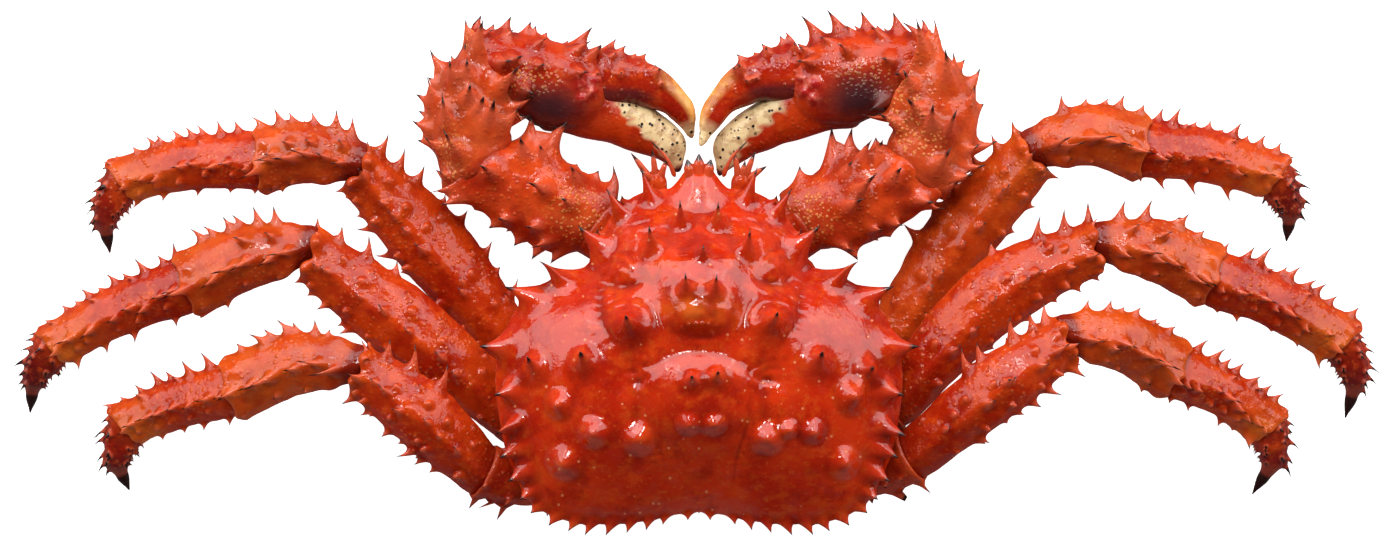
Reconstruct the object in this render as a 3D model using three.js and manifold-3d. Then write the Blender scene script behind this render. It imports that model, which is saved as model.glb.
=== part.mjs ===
// A whole cooked spiny king crab lying on its belly, with both claws folded in front of the head
// and three walking legs stretched out on each side.
//
// Units are millimetres and +Z is up. The origin is the middle of the flat belly, where the crab
// rests. +Y points the way the head points, and -X is the crab's own left side.
import * as THREE from "three";
import { mergeVertices } from "three/addons/utils/BufferGeometryUtils.js";
import Module from "manifold-3d";

const wasm = await Module();
wasm.setup();

// ---------------------------------------------------------------------------
// Driving dimensions
// ---------------------------------------------------------------------------

const GAP = 0.3; // clearance between neighbouring pieces of shell
const BELLY_Z = 0; // flat of the folded abdomen, and the underside of the mouthparts

const CARAPACE = {
  margin_z: 41, // height of the widest outline
  under_z: 34.3, // underside over the thorax
  top_z: 70, // crown of the dome before its swellings
  centre_y: 0,
  // Half outline from the middle of the front round to the middle of the rear, as [x, y].
  outline: [
    [0, 58], [19, 57], [28, 52], [35, 42], [40, 30], [54, 24], [65, 15], [71, 3],
    [73, -10], [71.5, -25], [68, -40], [60, -54], [48, -60], [30, -61.5], [12, -59.5], [0, -58],
  ],
};

// Swellings (+) and grooves (-) of the carapace: middle, radii and height. Each falls away from its
// middle as a bell curve with this steepness.
const RELIEF_STEEPNESS = 1.4;
const RELIEF = [
  { x: 0, y: 20, rx: 22, ry: 24, height: 7 }, // gastric region
  { x: 0, y: -17, rx: 17, ry: 15, height: 5 }, // cardiac region
  { x: 42, y: -22, rx: 26, ry: 28, height: 5, both: true }, // branchial regions
  { x: 25, y: 13, rx: 9, ry: 8, height: 3, both: true }, // lobes beside the gastric region
  { x: 20, y: 2, rx: 30, ry: 4, height: -5, both: true }, // groove across the back
  { x: 22, y: -22, rx: 4, ry: 22, height: -3, both: true }, // grooves beside the cardiac region
  { x: 33, y: 24, rx: 5, ry: 12, height: -3, both: true }, // cervical groove
];

// Spines that stand out from the margin on both sides, as the place [x, y] of each tip.
const MARGIN_SPINE_RISE = 3.5; // of the tips above the margin
const MARGIN_SPINES = [
  [22, 66], [34, 59], [43.6, 45], [57, 31], [70, 23], [80, 2], [79, -18], [77, -29], [75, -38],
  [71.5, -46.5], [66, -54], [58.5, -60.5], [50.5, -64.5], [41.5, -66.3], [32.5, -66.8],
  [23, -65.8], [14, -63.6], [5, -61.5],
];

// Spines and knobs on the back, on both sides: place, height and how far each leans forward.
const BACK_SPINES = [
  { x: 6.4, y: 48, height: 9, lean: 0.9 },
  { x: 16.8, y: 38, height: 10, lean: 0.9 },
  { x: 5.2, y: 21, height: 10, lean: 0.5 },
  { x: 26, y: 11, height: 7, lean: 0.3 },
  { x: 5, y: -10, height: 6, lean: 0 },
  { x: 5, y: -27, height: 6, lean: 0 },
  { x: 42, y: -1, height: 8, lean: 0.2 },
  { x: 59, y: -6, height: 9, lean: 0.2 },
  { x: 52, y: -18, height: 8, lean: 0 },
  { x: 39, y: -29, height: 8, lean: 0 },
  { x: 22.5, y: -31, height: 7, lean: 0 },
  { x: 50, y: -40, height: 7, lean: 0 },
];

const ROSTRUM = { base_y: 50, tip_y: 68, width: 17, z: 47, rise: 4 };

const THORAX = { half_width: 49, half_length: 45, middle_y: -4, bottom_z: 9, top_z: 34 };

const ABDOMEN = {
  // Middle line, from under the rear of the carapace round and forward beneath the thorax.
  path: [[0, -44, 28], [0, -52.5, 17], [0, -44, 5.2], [0, -22, 3.6], [0, 6, 3.4], [0, 31, 3]],
  widths: [54, 66, 70, 66, 58, 34],
  thickness: 0.13, // of the width
};

// Walking legs, first to last. Each joint is [x, y, z]; widths are across the leg as it is seen
// from above, at the start, middle and end of each article.
const WALKING_LEGS = {
  leg1_l: {
    hip: [-36, -2, 16], base: [-53, -5, 13], root: [-66, -1, 12], merus: [-97, 38, 15.5],
    knee: [-125.5, 68, 24], carpus: [-142, 71, 25], wrist: [-158, 68.5, 23],
    propodus: [-182, 67.5, 18], ankle: [-209, 61.4, 11], dactyl: [-215.3, 48, 7], tip: [-214.4, 34.9, 1.3],
    merus_widths: [20, 27, 19], carpus_widths: [17, 20.5, 20.5], propodus_widths: [20.5, 18.5, 15],
  },
  leg2_l: {
    hip: [-36, -22, 18], base: [-52, -23, 18], root: [-64, -26, 21], merus: [-107, 9.5, 27.5],
    knee: [-143, 37, 29], carpus: [-162, 33.5, 29], wrist: [-184, 23.5, 25],
    propodus: [-208, 15, 18], ankle: [-234, 1.5, 11], dactyl: [-241, -10, 7], tip: [-243.5, -23.3, 1.3],
    merus_widths: [20, 27, 20], carpus_widths: [16, 21.5, 20.5], propodus_widths: [20, 18, 15],
  },
  leg3_l: {
    hip: [-36, -36, 20], base: [-59, -47, 25], root: [-78, -43.5, 30], merus: [-101, -22, 41],
    knee: [-124.5, -5, 40], carpus: [-145, -5, 34], wrist: [-167.5, -14, 28],
    propodus: [-188, -19.5, 19], ankle: [-207.5, -27, 11], dactyl: [-211, -40, 7],
    tip: [-207.3, -51.4, 1.3],
    merus_widths: [20, 24, 18], carpus_widths: [16, 21, 20], propodus_widths: [19, 17.5, 15],
  },
  leg1_r: {
    hip: [36, -4, 16], base: [52, -8, 12.5], root: [64, -7, 11.5], merus: [95.5, 42, 14],
    knee: [123, 73, 23], carpus: [141, 77.5, 25], wrist: [159.5, 73, 23],
    propodus: [183, 70, 18], ankle: [208.5, 63, 11], dactyl: [215.3, 51.5, 7], tip: [214.3, 39.1, 1.3],
    merus_widths: [20, 26, 20], carpus_widths: [17, 20.5, 20.5], propodus_widths: [20.5, 19, 15.5],
  },
  leg2_r: {
    hip: [36, -20, 18], base: [54, -22, 23], root: [70, -19, 26.5], merus: [109, 21, 32],
    knee: [146, 38.5, 33], carpus: [165, 35.5, 30], wrist: [184, 26.5, 25],
    propodus: [208.5, 17.3, 18], ankle: [233, 3, 11], dactyl: [239.5, -10, 7], tip: [235.6, -25.2, 1.3],
    merus_widths: [20, 26, 19], carpus_widths: [16, 21, 20], propodus_widths: [20, 19, 16.5],
  },
  leg3_r: {
    hip: [36, -37, 19], base: [60, -44, 25], root: [77, -38, 32.5], merus: [108.5, -12, 45.5],
    knee: [134, 5.5, 40], carpus: [152, 3, 35], wrist: [171, -7.2, 27],
    propodus: [190.5, -16.2, 19], ankle: [206, -27.4, 11], dactyl: [208.5, -39, 7],
    tip: [201.3, -53, 1.3],
    merus_widths: [19, 23, 18], carpus_widths: [16, 20, 19], propodus_widths: [18.5, 17, 15.5],
  },
};

const LEG_FLATNESS = 0.68; // height of a leg's section for its width
const DACTYL_WIDTHS = [14, 11, 2]; // hooked end article, at its root, middle and tip
const BASE_WIDTHS = [15, 18, 19]; // short articles between the body and the merus

// Claw legs. The palm carries the fixed finger; the movable finger lies in front of it.
const CLAWS = {
  claw_l: {
    hip: [-20, 30, 19], base: [-30, 38, 18], root: [-38, 46, 17.5], merus: [-59, 56, 21],
    elbow: [-80, 67, 24], carpus: [-82.5, 85.5, 24], wrist: [-74.5, 101, 23], palm: [-55.5, 98, 21],
    hinge: [-38, 92.5, 19],
    fixed: [[-44, 85.5, 16], [-22.5, 80.5, 14.5], [-11, 73.5, 14], [-7, 64, 14]],
    movable: [[-40, 98, 18.5], [-18, 96.5, 18], [-6.2, 88.2, 17], [-2.4, 77, 14]],
    carpus_widths: [28, 28, 27], palm_widths: [27, 34, 31],
  },
  claw_r: {
    hip: [20, 30, 19], base: [30, 38, 18], root: [38, 47, 17.5], merus: [59, 54.5, 21],
    elbow: [79, 65, 24], carpus: [85.5, 84, 24], wrist: [75.5, 100, 23], palm: [55.5, 99, 21],
    hinge: [37.5, 95, 19],
    fixed: [[44, 86, 16], [24, 81, 14.5], [12.5, 74, 14], [6.8, 62.5, 14]],
    movable: [[39, 100, 19], [17, 98, 19], [5.8, 89, 19], [1.2, 75, 22]],
    carpus_widths: [28, 30, 28], palm_widths: [28, 34, 32],
  },
};

const CLAW_FLATNESS = 0.78;
const CLAW_BASE_WIDTHS = [18, 20, 22];
const CLAW_MERUS_WIDTHS = [26, 31, 28];
const FIXED_FINGER_WIDTHS = [16, 16.5, 12.5, 4.5];
const MOVABLE_FINGER_WIDTHS = [19, 16, 10, 3];

const EYE = { x: 9.5, y: 55.5, z: 36.5, stalk_width: 4.8, eye_width: 6 };
const ANTENNA = { root: [17, 52, 36], elbow: [18, 60, 38], tip: [24.5, 72, 42], widths: [6, 3.2, 1.2] };
const MAXILLIPED = { path: [[9, 36, 5.2], [9.5, 46, 4], [7, 58, 5]], widths: [10, 11, 6] };

// Height of the spines above the shell of each kind of article. Those on the hollow side of a bent
// leg are short.
const SPINE_HEIGHTS = { base: 5, merus: 6.5, carpus: 5, propodus: 4.2, dactyl: 2.4, claw: 8, finger: 3 };
const HOLLOW_SIDE_SPINES = 2.4;

// ---------------------------------------------------------------------------
// Materials
// ---------------------------------------------------------------------------

const shellRed = new THREE.MeshStandardMaterial({ color: "#c8371a", roughness: 0.35, metalness: 0 });
const clawTip = new THREE.MeshStandardMaterial({ color: "#4a1c18", roughness: 0.35, metalness: 0 });
const fingerRed = new THREE.MeshStandardMaterial({ color: "#a83a1c", roughness: 0.35, metalness: 0 });
const underside = new THREE.MeshStandardMaterial({ color: "#dc9a78", roughness: 0.5, metalness: 0 });
const eyeBlack = new THREE.MeshStandardMaterial({ color: "#161214", roughness: 0.2, metalness: 0 });

// ---------------------------------------------------------------------------
// Solids from three.js geometry
// ---------------------------------------------------------------------------

/** Turn a closed three.js geometry into a solid that can be joined and cut. */
function toSolid(geometry) {
  const bare = geometry.clone();
  bare.deleteAttribute("normal");
  bare.deleteAttribute("uv");
  const merged = mergeVertices(bare, 1e-4);
  return new wasm.Manifold(
    new wasm.Mesh({
      numProp: 3,
      vertProperties: new Float32Array(merged.attributes.position.array),
      triVerts: new Uint32Array(merged.index.array),
    }),
  );
}

/** Turn a solid back into a named mesh with flat faces. */
function toMesh(name, solid, material) {
  const data = solid.getMesh();
  const geometry = new THREE.BufferGeometry();
  geometry.setAttribute("position", new THREE.BufferAttribute(data.vertProperties, data.numProp));
  geometry.setIndex(new THREE.BufferAttribute(data.triVerts, 1));
  geometry.computeVertexNormals();
  const mesh = new THREE.Mesh(geometry, material);
  mesh.name = name;
  return mesh;
}

/** Join solids into one. */
function join(solids) {
  return solids.reduce((whole, next) => whole.add(next));
}

/** A seeded draw between -1 and 1, so that no two spines are quite alike. */
function makeJitter(seed) {
  let state = seed;
  return () => {
    state = (state * 1664525 + 1013904223) % 4294967296;
    return (state / 4294967296) * 2 - 1;
  };
}

/** Smooth value at t (0 to 1) of a row of values that are evenly spaced. */
function blend(values, t) {
  const place = THREE.MathUtils.clamp(t, 0, 1) * (values.length - 1);
  const low = Math.min(Math.floor(place), values.length - 2);
  const part = place - low;
  const eased = part * part * (3 - 2 * part);
  return values[low] + (values[low + 1] - values[low]) * eased;
}

/**
 * A closed skin: a sphere turned half a cell about its axis, whose vertices a shape function
 * moves. Each spike stands on one cell of the sphere's grid as a four-sided pyramid.
 */
function spikedSphere(sides, rings, shape, spikes = []) {
  const sphere = new THREE.SphereGeometry(1, sides, rings).rotateY(Math.PI / sides);
  const places = [];
  const v = new THREE.Vector3();
  for (let i = 0; i < sphere.attributes.position.count; i += 1) {
    v.fromBufferAttribute(sphere.attributes.position, i);
    const ring = Math.round((Math.acos(THREE.MathUtils.clamp(v.y, -1, 1)) / Math.PI) * rings);
    places.push(...shape(ring, Math.atan2(v.z, v.x)));
  }
  const corner = (ring, side) => ring * (sides + 1) + side;
  const index = [];
  for (let ring = 0; ring < rings; ring += 1) {
    for (let side = 0; side < sides; side += 1) {
      const a = corner(ring, side + 1);
      const b = corner(ring, side);
      const c = corner(ring + 1, side);
      const d = corner(ring + 1, side + 1);
      const spike = spikes.find((one) => one.ring === ring && one.side === side);
      if (spike) {
        const apex = places.length / 3;
        places.push(...spike.tip);
        index.push(a, b, apex, b, c, apex, c, d, apex, d, a, apex);
        continue;
      }
      if (ring > 0) index.push(a, b, d);
      if (ring < rings - 1) index.push(b, c, d);
    }
  }
  const skin = new THREE.BufferGeometry();
  skin.setAttribute("position", new THREE.Float32BufferAttribute(places, 3));
  skin.setIndex(index);
  return toSolid(skin);
}

/** Which cell of such a sphere looks towards an angle round its axis. */
function cellToward(angle, sides) {
  const cell = Math.round(((Math.PI - angle) / (2 * Math.PI)) * sides - 1);
  return THREE.MathUtils.euclideanModulo(cell, sides);
}

/** One article of a limb: the middle line, the widths along it and how flat its section is. */
class Article {
  constructor(points, widths, flatness) {
    const places = points.map((p) => new THREE.Vector3(...p));
    this.curve = new THREE.CatmullRomCurve3(places, false, "centripetal");
    this.length = this.curve.getLength();
    this.widths = widths;
    this.flatness = flatness;
    this.startAxis = this.curve.getTangent(0);
    this.endAxis = this.curve.getTangent(1);
  }

  /** The skin at a distance along the article and an angle round it, with its directions. */
  skin(along, angle, grow = 0) {
    const t = THREE.MathUtils.clamp(along / this.length, 0, 1);
    const forward = this.curve.getTangent(t);
    const right = new THREE.Vector3().crossVectors(forward, new THREE.Vector3(0, 0, 1)).normalize();
    const up = new THREE.Vector3().crossVectors(right, forward);
    const half = blend(this.widths, t) / 2 + grow;
    const rise = half * this.flatness + grow * (1 - this.flatness);
    const past = along - t * this.length;
    const point = this.curve
      .getPoint(t)
      .addScaledVector(forward, past)
      .addScaledVector(right, half * Math.cos(angle))
      .addScaledVector(up, rise * Math.sin(angle));
    const outward = new THREE.Vector3()
      .addScaledVector(right, rise * Math.cos(angle))
      .addScaledVector(up, half * Math.sin(angle))
      .normalize();
    return { point, outward, forward };
  }

  /**
   * The closed solid. Its ends run on past the joints by startReach and endReach, it can be
   * grown by a clearance, and rows of spines stand along it at angles round its section.
   */
  solid({ sides = 10, rings = 8, startReach = 0, endReach = 0, grow = 0, rows = [], jitter } = {}) {
    const whole = this.length + startReach + endReach + 2 * grow;
    const alongAt = (ring) => (1 - ring / rings) * whole - startReach - grow;
    const shape = (ring, angle) => {
      const atPole = ring === 0 || ring === rings;
      const { point } = this.skin(alongAt(ring), angle, grow);
      if (!atPole) return point;
      const across = this.skin(alongAt(ring), angle + Math.PI, grow).point;
      return point.add(across).multiplyScalar(0.5);
    };
    const spikes = [];
    for (const { from, to, count, angle, height, lean = 0.6 } of rows) {
      for (let i = 0; i < count; i += 1) {
        const t = count > 1 ? from + ((to - from) * i) / (count - 1) : (from + to) / 2;
        const ring = Math.round(rings * (1 - (t * this.length + startReach) / whole) - 0.5);
        const { point, outward, forward } = this.skin(alongAt(ring + 0.5), angle);
        const tip = point
          .addScaledVector(outward, height * (1 + 0.22 * jitter()))
          .addScaledVector(forward, height * (lean + 0.2 * jitter()));
        spikes.push({ ring, side: cellToward(angle, sides), tip });
      }
    }
    return spikedSphere(sides, rings, shape, spikes);
  }
}

/** A small cone that stands on a point, with its foot sunk. */
function spine(point, direction, height, radius) {
  const cone = new THREE.ConeGeometry(radius, height, 4);
  cone.translate(0, height * 0.3, 0);
  cone.applyQuaternion(
    new THREE.Quaternion().setFromUnitVectors(new THREE.Vector3(0, 1, 0), direction.clone().normalize()),
  );
  cone.translate(point.x, point.y, point.z);
  return toSolid(cone);
}

/** The half space beyond a plane, as a large block to cut with. */
function beyond(point, normal, offset = 0) {
  const size = 160;
  const block = new THREE.BoxGeometry(size, size, size);
  block.translate(0, 0, size / 2 + offset);
  block.applyQuaternion(
    new THREE.Quaternion().setFromUnitVectors(new THREE.Vector3(0, 0, 1), normal.clone().normalize()),
  );
  block.translate(point.x, point.y, point.z);
  return toSolid(block);
}

/** The plane in which two articles meet halves the angle between them. */
function jointNormal(before, after) {
  return before.endAxis.clone().add(after.startAxis).normalize();
}

function trimEnd(solid, joint, normal) {
  return solid.subtract(beyond(joint, normal, -GAP / 2));
}

function trimStart(solid, joint, normal) {
  return solid.subtract(beyond(joint, normal.clone().negate(), -GAP / 2));
}

const crab = new THREE.Group();
crab.name = "spiny_king_crab";

// ---------------------------------------------------------------------------
// Carapace: a domed shield with a spiny margin and a short rostrum
// ---------------------------------------------------------------------------

const CARAPACE_SIDES = 52;
const BACK_RINGS = 12;
const UNDER_RINGS = 4;
const RING_CROWDING = 0.25; // how much closer the rings of the back stand towards the margin
const FRONT_FALL = { from_y: 20, slope: 0.28 }; // of the crown, towards the head

const carapaceOutline = new THREE.CatmullRomCurve3(
  [
    ...CARAPACE.outline,
    ...CARAPACE.outline
      .slice(1, -1)
      .reverse()
      .map(([x, y]) => [-x, y]),
  ].map(([x, y]) => new THREE.Vector3(x, y, 0)),
  true,
  "centripetal",
).getPoints(360);

/** Distance of the outline from the middle of the carapace, in the direction of an angle. */
function outlineRadius(angle) {
  let nearest = 0;
  let best = Infinity;
  for (const p of carapaceOutline) {
    const turned = Math.atan2(p.y - CARAPACE.centre_y, p.x) - angle + Math.PI;
    const off = Math.abs(THREE.MathUtils.euclideanModulo(turned, 2 * Math.PI) - Math.PI);
    if (off < best) {
      best = off;
      nearest = Math.hypot(p.x, p.y - CARAPACE.centre_y);
    }
  }
  return nearest;
}

function relief(x, y) {
  let height = 0;
  for (const part of RELIEF) {
    for (const side of part.both ? [-1, 1] : [1]) {
      const dx = (x - side * part.x) / part.rx;
      const dy = (y - part.y) / part.ry;
      height += part.height * Math.exp(-(dx * dx + dy * dy) * RELIEF_STEEPNESS);
    }
  }
  return height;
}

/** Height of the back at a place; share is 0 in the middle and 1 on the margin. */
function backHeight(x, y, share) {
  const dome = (1 - share ** 2.4) ** 0.75;
  const fall = FRONT_FALL.slope * Math.max(y - FRONT_FALL.from_y, 0);
  const crown = CARAPACE.top_z - CARAPACE.margin_z - fall;
  return CARAPACE.margin_z + crown * dome + relief(x, y) * (1 - share ** 4);
}

/** Share of the way to the margin at each ring of the back, and the reverse. */
const shareAtTurn = (turn) => turn * (1 + RING_CROWDING * (1 - turn));
const turnAtShare = (share) => {
  const steep = 1 + RING_CROWDING;
  return (steep - Math.sqrt(steep ** 2 - 4 * RING_CROWDING * share)) / (2 * RING_CROWDING);
};

function placeOnBack(x, y) {
  const angle = Math.atan2(y - CARAPACE.centre_y, x);
  const share = Math.min(Math.hypot(x, y - CARAPACE.centre_y) / outlineRadius(angle), 1);
  const ring = Math.min(Math.floor(turnAtShare(share) * BACK_RINGS), BACK_RINGS - 1);
  return { ring, side: cellToward(-angle, CARAPACE_SIDES), z: backHeight(x, y, share) };
}

function carapacePoint(ring, angle) {
  const above = ring <= BACK_RINGS;
  const turn = above ? ring / BACK_RINGS : (BACK_RINGS + UNDER_RINGS - ring) / UNDER_RINGS;
  const share = above ? shareAtTurn(turn) : turn;
  const radius = share * outlineRadius(-angle);
  const x = radius * Math.cos(-angle);
  const y = CARAPACE.centre_y + radius * Math.sin(-angle);
  const lift = THREE.MathUtils.smoothstep(share, 0.62, 1);
  const under = CARAPACE.under_z + (CARAPACE.margin_z - CARAPACE.under_z) * lift;
  return [x, y, above ? backHeight(x, y, share) : under];
}

function makeCarapace() {
  const spikes = [];
  for (const side of [-1, 1]) {
    for (const [x, y] of MARGIN_SPINES) {
      const cell = placeOnBack(side * x, y);
      spikes.push({ ...cell, tip: [side * x, y, CARAPACE.margin_z + MARGIN_SPINE_RISE] });
    }
    for (const { x, y, height, lean } of BACK_SPINES) {
      const cell = placeOnBack(side * x, y);
      spikes.push({ ...cell, tip: [side * x, y + lean * height * 0.8, cell.z + height] });
    }
  }
  const shell = spikedSphere(CARAPACE_SIDES, BACK_RINGS + UNDER_RINGS, carapacePoint, spikes);

  const middleY = (ROSTRUM.base_y + ROSTRUM.tip_y) / 2;
  const rostrum = new Article(
    [
      [0, ROSTRUM.base_y, ROSTRUM.z],
      [0, middleY, ROSTRUM.z + ROSTRUM.rise / 2],
      [0, ROSTRUM.tip_y - 3, ROSTRUM.z + ROSTRUM.rise],
    ],
    [ROSTRUM.width, ROSTRUM.width * 0.72, ROSTRUM.width * 0.42],
    0.6,
  );
  const rostrumTip = new THREE.Vector3(0, ROSTRUM.tip_y - 4, ROSTRUM.z + ROSTRUM.rise);
  const teeth = [-1, 0, 1].map((side) =>
    spine(
      rostrumTip.clone().add(new THREE.Vector3(side * 2.4, -Math.abs(side), 0)),
      new THREE.Vector3(side * 0.2, 1, 0.2),
      6,
      1.4,
    ),
  );
  return join([shell, rostrum.solid({ sides: 8, rings: 5 }), ...teeth]);
}

crab.add(toMesh("carapace", makeCarapace(), shellRed));

// ---------------------------------------------------------------------------
// Abdomen: a broad flap folded under the body, flat where the crab rests
// ---------------------------------------------------------------------------

const abdomen = new Article(ABDOMEN.path, ABDOMEN.widths, ABDOMEN.thickness);
const floorCut = beyond(new THREE.Vector3(0, 0, BELLY_Z), new THREE.Vector3(0, 0, -1));
const abdomenShape = { sides: 14, rings: 14 };
crab.add(toMesh("abdomen", abdomen.solid(abdomenShape).subtract(floorCut), underside));

// ---------------------------------------------------------------------------
// Thorax: the body between the carapace and the abdomen, which carries the legs
// ---------------------------------------------------------------------------

/** The rounded block of the thorax, grown by a clearance where it is used to cut with. */
function thoraxBlock(grow) {
  const rings = 10;
  const middleZ = (THORAX.bottom_z + THORAX.top_z) / 2;
  const halfHeight = (THORAX.top_z - THORAX.bottom_z) / 2;
  const soften = (value) => Math.sign(value) * Math.abs(value) ** 0.62;
  return spikedSphere(20, rings, (ring, angle) => {
    const polar = (ring / rings) * Math.PI;
    return [
      soften(Math.sin(polar) * Math.cos(angle)) * (THORAX.half_width + grow),
      THORAX.middle_y - soften(Math.sin(polar) * Math.sin(angle)) * (THORAX.half_length + grow),
      middleZ + soften(Math.cos(polar)) * (halfHeight + grow),
    ];
  });
}

const thoraxClearance = thoraxBlock(GAP);
const abdomenClearance = abdomen.solid({ ...abdomenShape, grow: GAP });
crab.add(toMesh("thorax", thoraxBlock(0).subtract(abdomenClearance), underside));

// ---------------------------------------------------------------------------
// Eyes, antennae and outer mouthparts
// ---------------------------------------------------------------------------

for (const [suffix, side] of [["l", -1], ["r", 1]]) {
  const mirrored = ([x, y, z]) => [side * x, y, z];

  const eyePath = [
    [EYE.x - 2, EYE.y - 8, EYE.z - 2],
    [EYE.x, EYE.y, EYE.z],
    [EYE.x + 1, EYE.y + 7, EYE.z + 1],
  ];
  const eyeWidths = [EYE.stalk_width, EYE.stalk_width, EYE.eye_width];
  const eye = new Article(eyePath.map(mirrored), eyeWidths, 1).solid({ sides: 8, rings: 6 });
  crab.add(toMesh("eye_" + suffix, eye.subtract(thoraxClearance), eyeBlack));

  const antennaPath = [ANTENNA.root, ANTENNA.elbow, ANTENNA.tip].map(mirrored);
  const antenna = new Article(antennaPath, ANTENNA.widths, 0.8).solid({ sides: 6, rings: 6 });
  crab.add(toMesh("antenna_" + suffix, antenna, shellRed));

  const maxilliped = new Article(MAXILLIPED.path.map(mirrored), MAXILLIPED.widths, 0.8);
  const mouthpart = maxilliped
    .solid({ sides: 8, rings: 6, endReach: 2 })
    .subtract(thoraxClearance)
    .subtract(abdomenClearance)
    .subtract(floorCut);
  crab.add(toMesh("maxilliped_" + suffix, mouthpart, underside));
}

// ---------------------------------------------------------------------------
// Walking legs: base, merus, carpus, propodus and hooked dactyl
// ---------------------------------------------------------------------------

const LEG_SIDES = 10;
const LEG_RINGS = { base: 6, merus: 15, carpus: 9, propodus: 12, dactyl: 8 };

/** Angles round an article from its front edge (0) over the top to its rear edge (1). */
function anglesOver(front) {
  return (share) => front + (Math.PI - 2 * front) * share;
}

for (const [index, [name, leg]] of Object.entries(WALKING_LEGS).entries()) {
  const jitter = makeJitter(61 + index);
  const over = anglesOver(name.endsWith("_l") ? 0 : Math.PI);

  const articles = {
    base: new Article([leg.hip, leg.base, leg.root], BASE_WIDTHS, 0.85),
    merus: new Article([leg.root, leg.merus, leg.knee], leg.merus_widths, LEG_FLATNESS),
    carpus: new Article([leg.knee, leg.carpus, leg.wrist], leg.carpus_widths, LEG_FLATNESS),
    propodus: new Article([leg.wrist, leg.propodus, leg.ankle], leg.propodus_widths, LEG_FLATNESS),
    dactyl: new Article([leg.ankle, leg.dactyl, leg.tip], DACTYL_WIDTHS, 0.85),
  };
  const rows = {
    base: [{ from: 0.7, to: 0.7, count: 1, angle: over(1) }],
    merus: [
      { from: 0.25, to: 0.93, count: 6, angle: over(0) },
      { from: 0.3, to: 0.95, count: 5, angle: over(1), height: HOLLOW_SIDE_SPINES * 1.6 },
      { from: 0.3, to: 0.9, count: 4, angle: over(0.4) },
      { from: 0.4, to: 0.95, count: 3, angle: over(0.8) },
    ],
    carpus: [
      { from: 0.1, to: 0.9, count: 5, angle: over(0) },
      { from: 0.2, to: 0.85, count: 4, angle: over(0.4) },
      { from: 0.4, to: 0.85, count: 2, angle: over(1), height: HOLLOW_SIDE_SPINES, lean: 0.2 },
    ],
    propodus: [
      { from: 0.05, to: 0.95, count: 6, angle: over(0) },
      { from: 0.14, to: 0.86, count: 5, angle: over(0.4) },
      { from: 0.1, to: 0.9, count: 5, angle: over(1), height: HOLLOW_SIDE_SPINES, lean: 0.2 },
    ],
    dactyl: [{ from: 0.15, to: 0.6, count: 3, angle: over(0) }],
  };

  const joints = [leg.root, leg.knee, leg.wrist, leg.ankle].map((p) => new THREE.Vector3(...p));
  const chain = Object.values(articles);
  const normals = joints.map((_, i) => jointNormal(chain[i], chain[i + 1]));

  Object.entries(articles).forEach(([part, article], place) => {
    const reach = article.widths[0] * 0.35;
    let solid = article.solid({
      sides: part === "dactyl" ? 8 : LEG_SIDES,
      rings: LEG_RINGS[part],
      startReach: place === 0 ? 0 : reach,
      endReach: part === "dactyl" ? 0 : reach,
      rows: rows[part].map((row) => ({ height: SPINE_HEIGHTS[part], ...row })),
      jitter,
    });
    if (place === 0) solid = solid.subtract(thoraxClearance);
    if (place > 0) solid = trimStart(solid, joints[place - 1], normals[place - 1]);
    if (place < joints.length) solid = trimEnd(solid, joints[place], normals[place]);
    crab.add(toMesh(name + "_" + part, solid, part === "dactyl" ? clawTip : shellRed));
  });
}

// ---------------------------------------------------------------------------
// Claws: base, merus, carpus, palm with its fixed finger, and movable finger
// ---------------------------------------------------------------------------

const CLAW_SIDES = 12;

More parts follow.
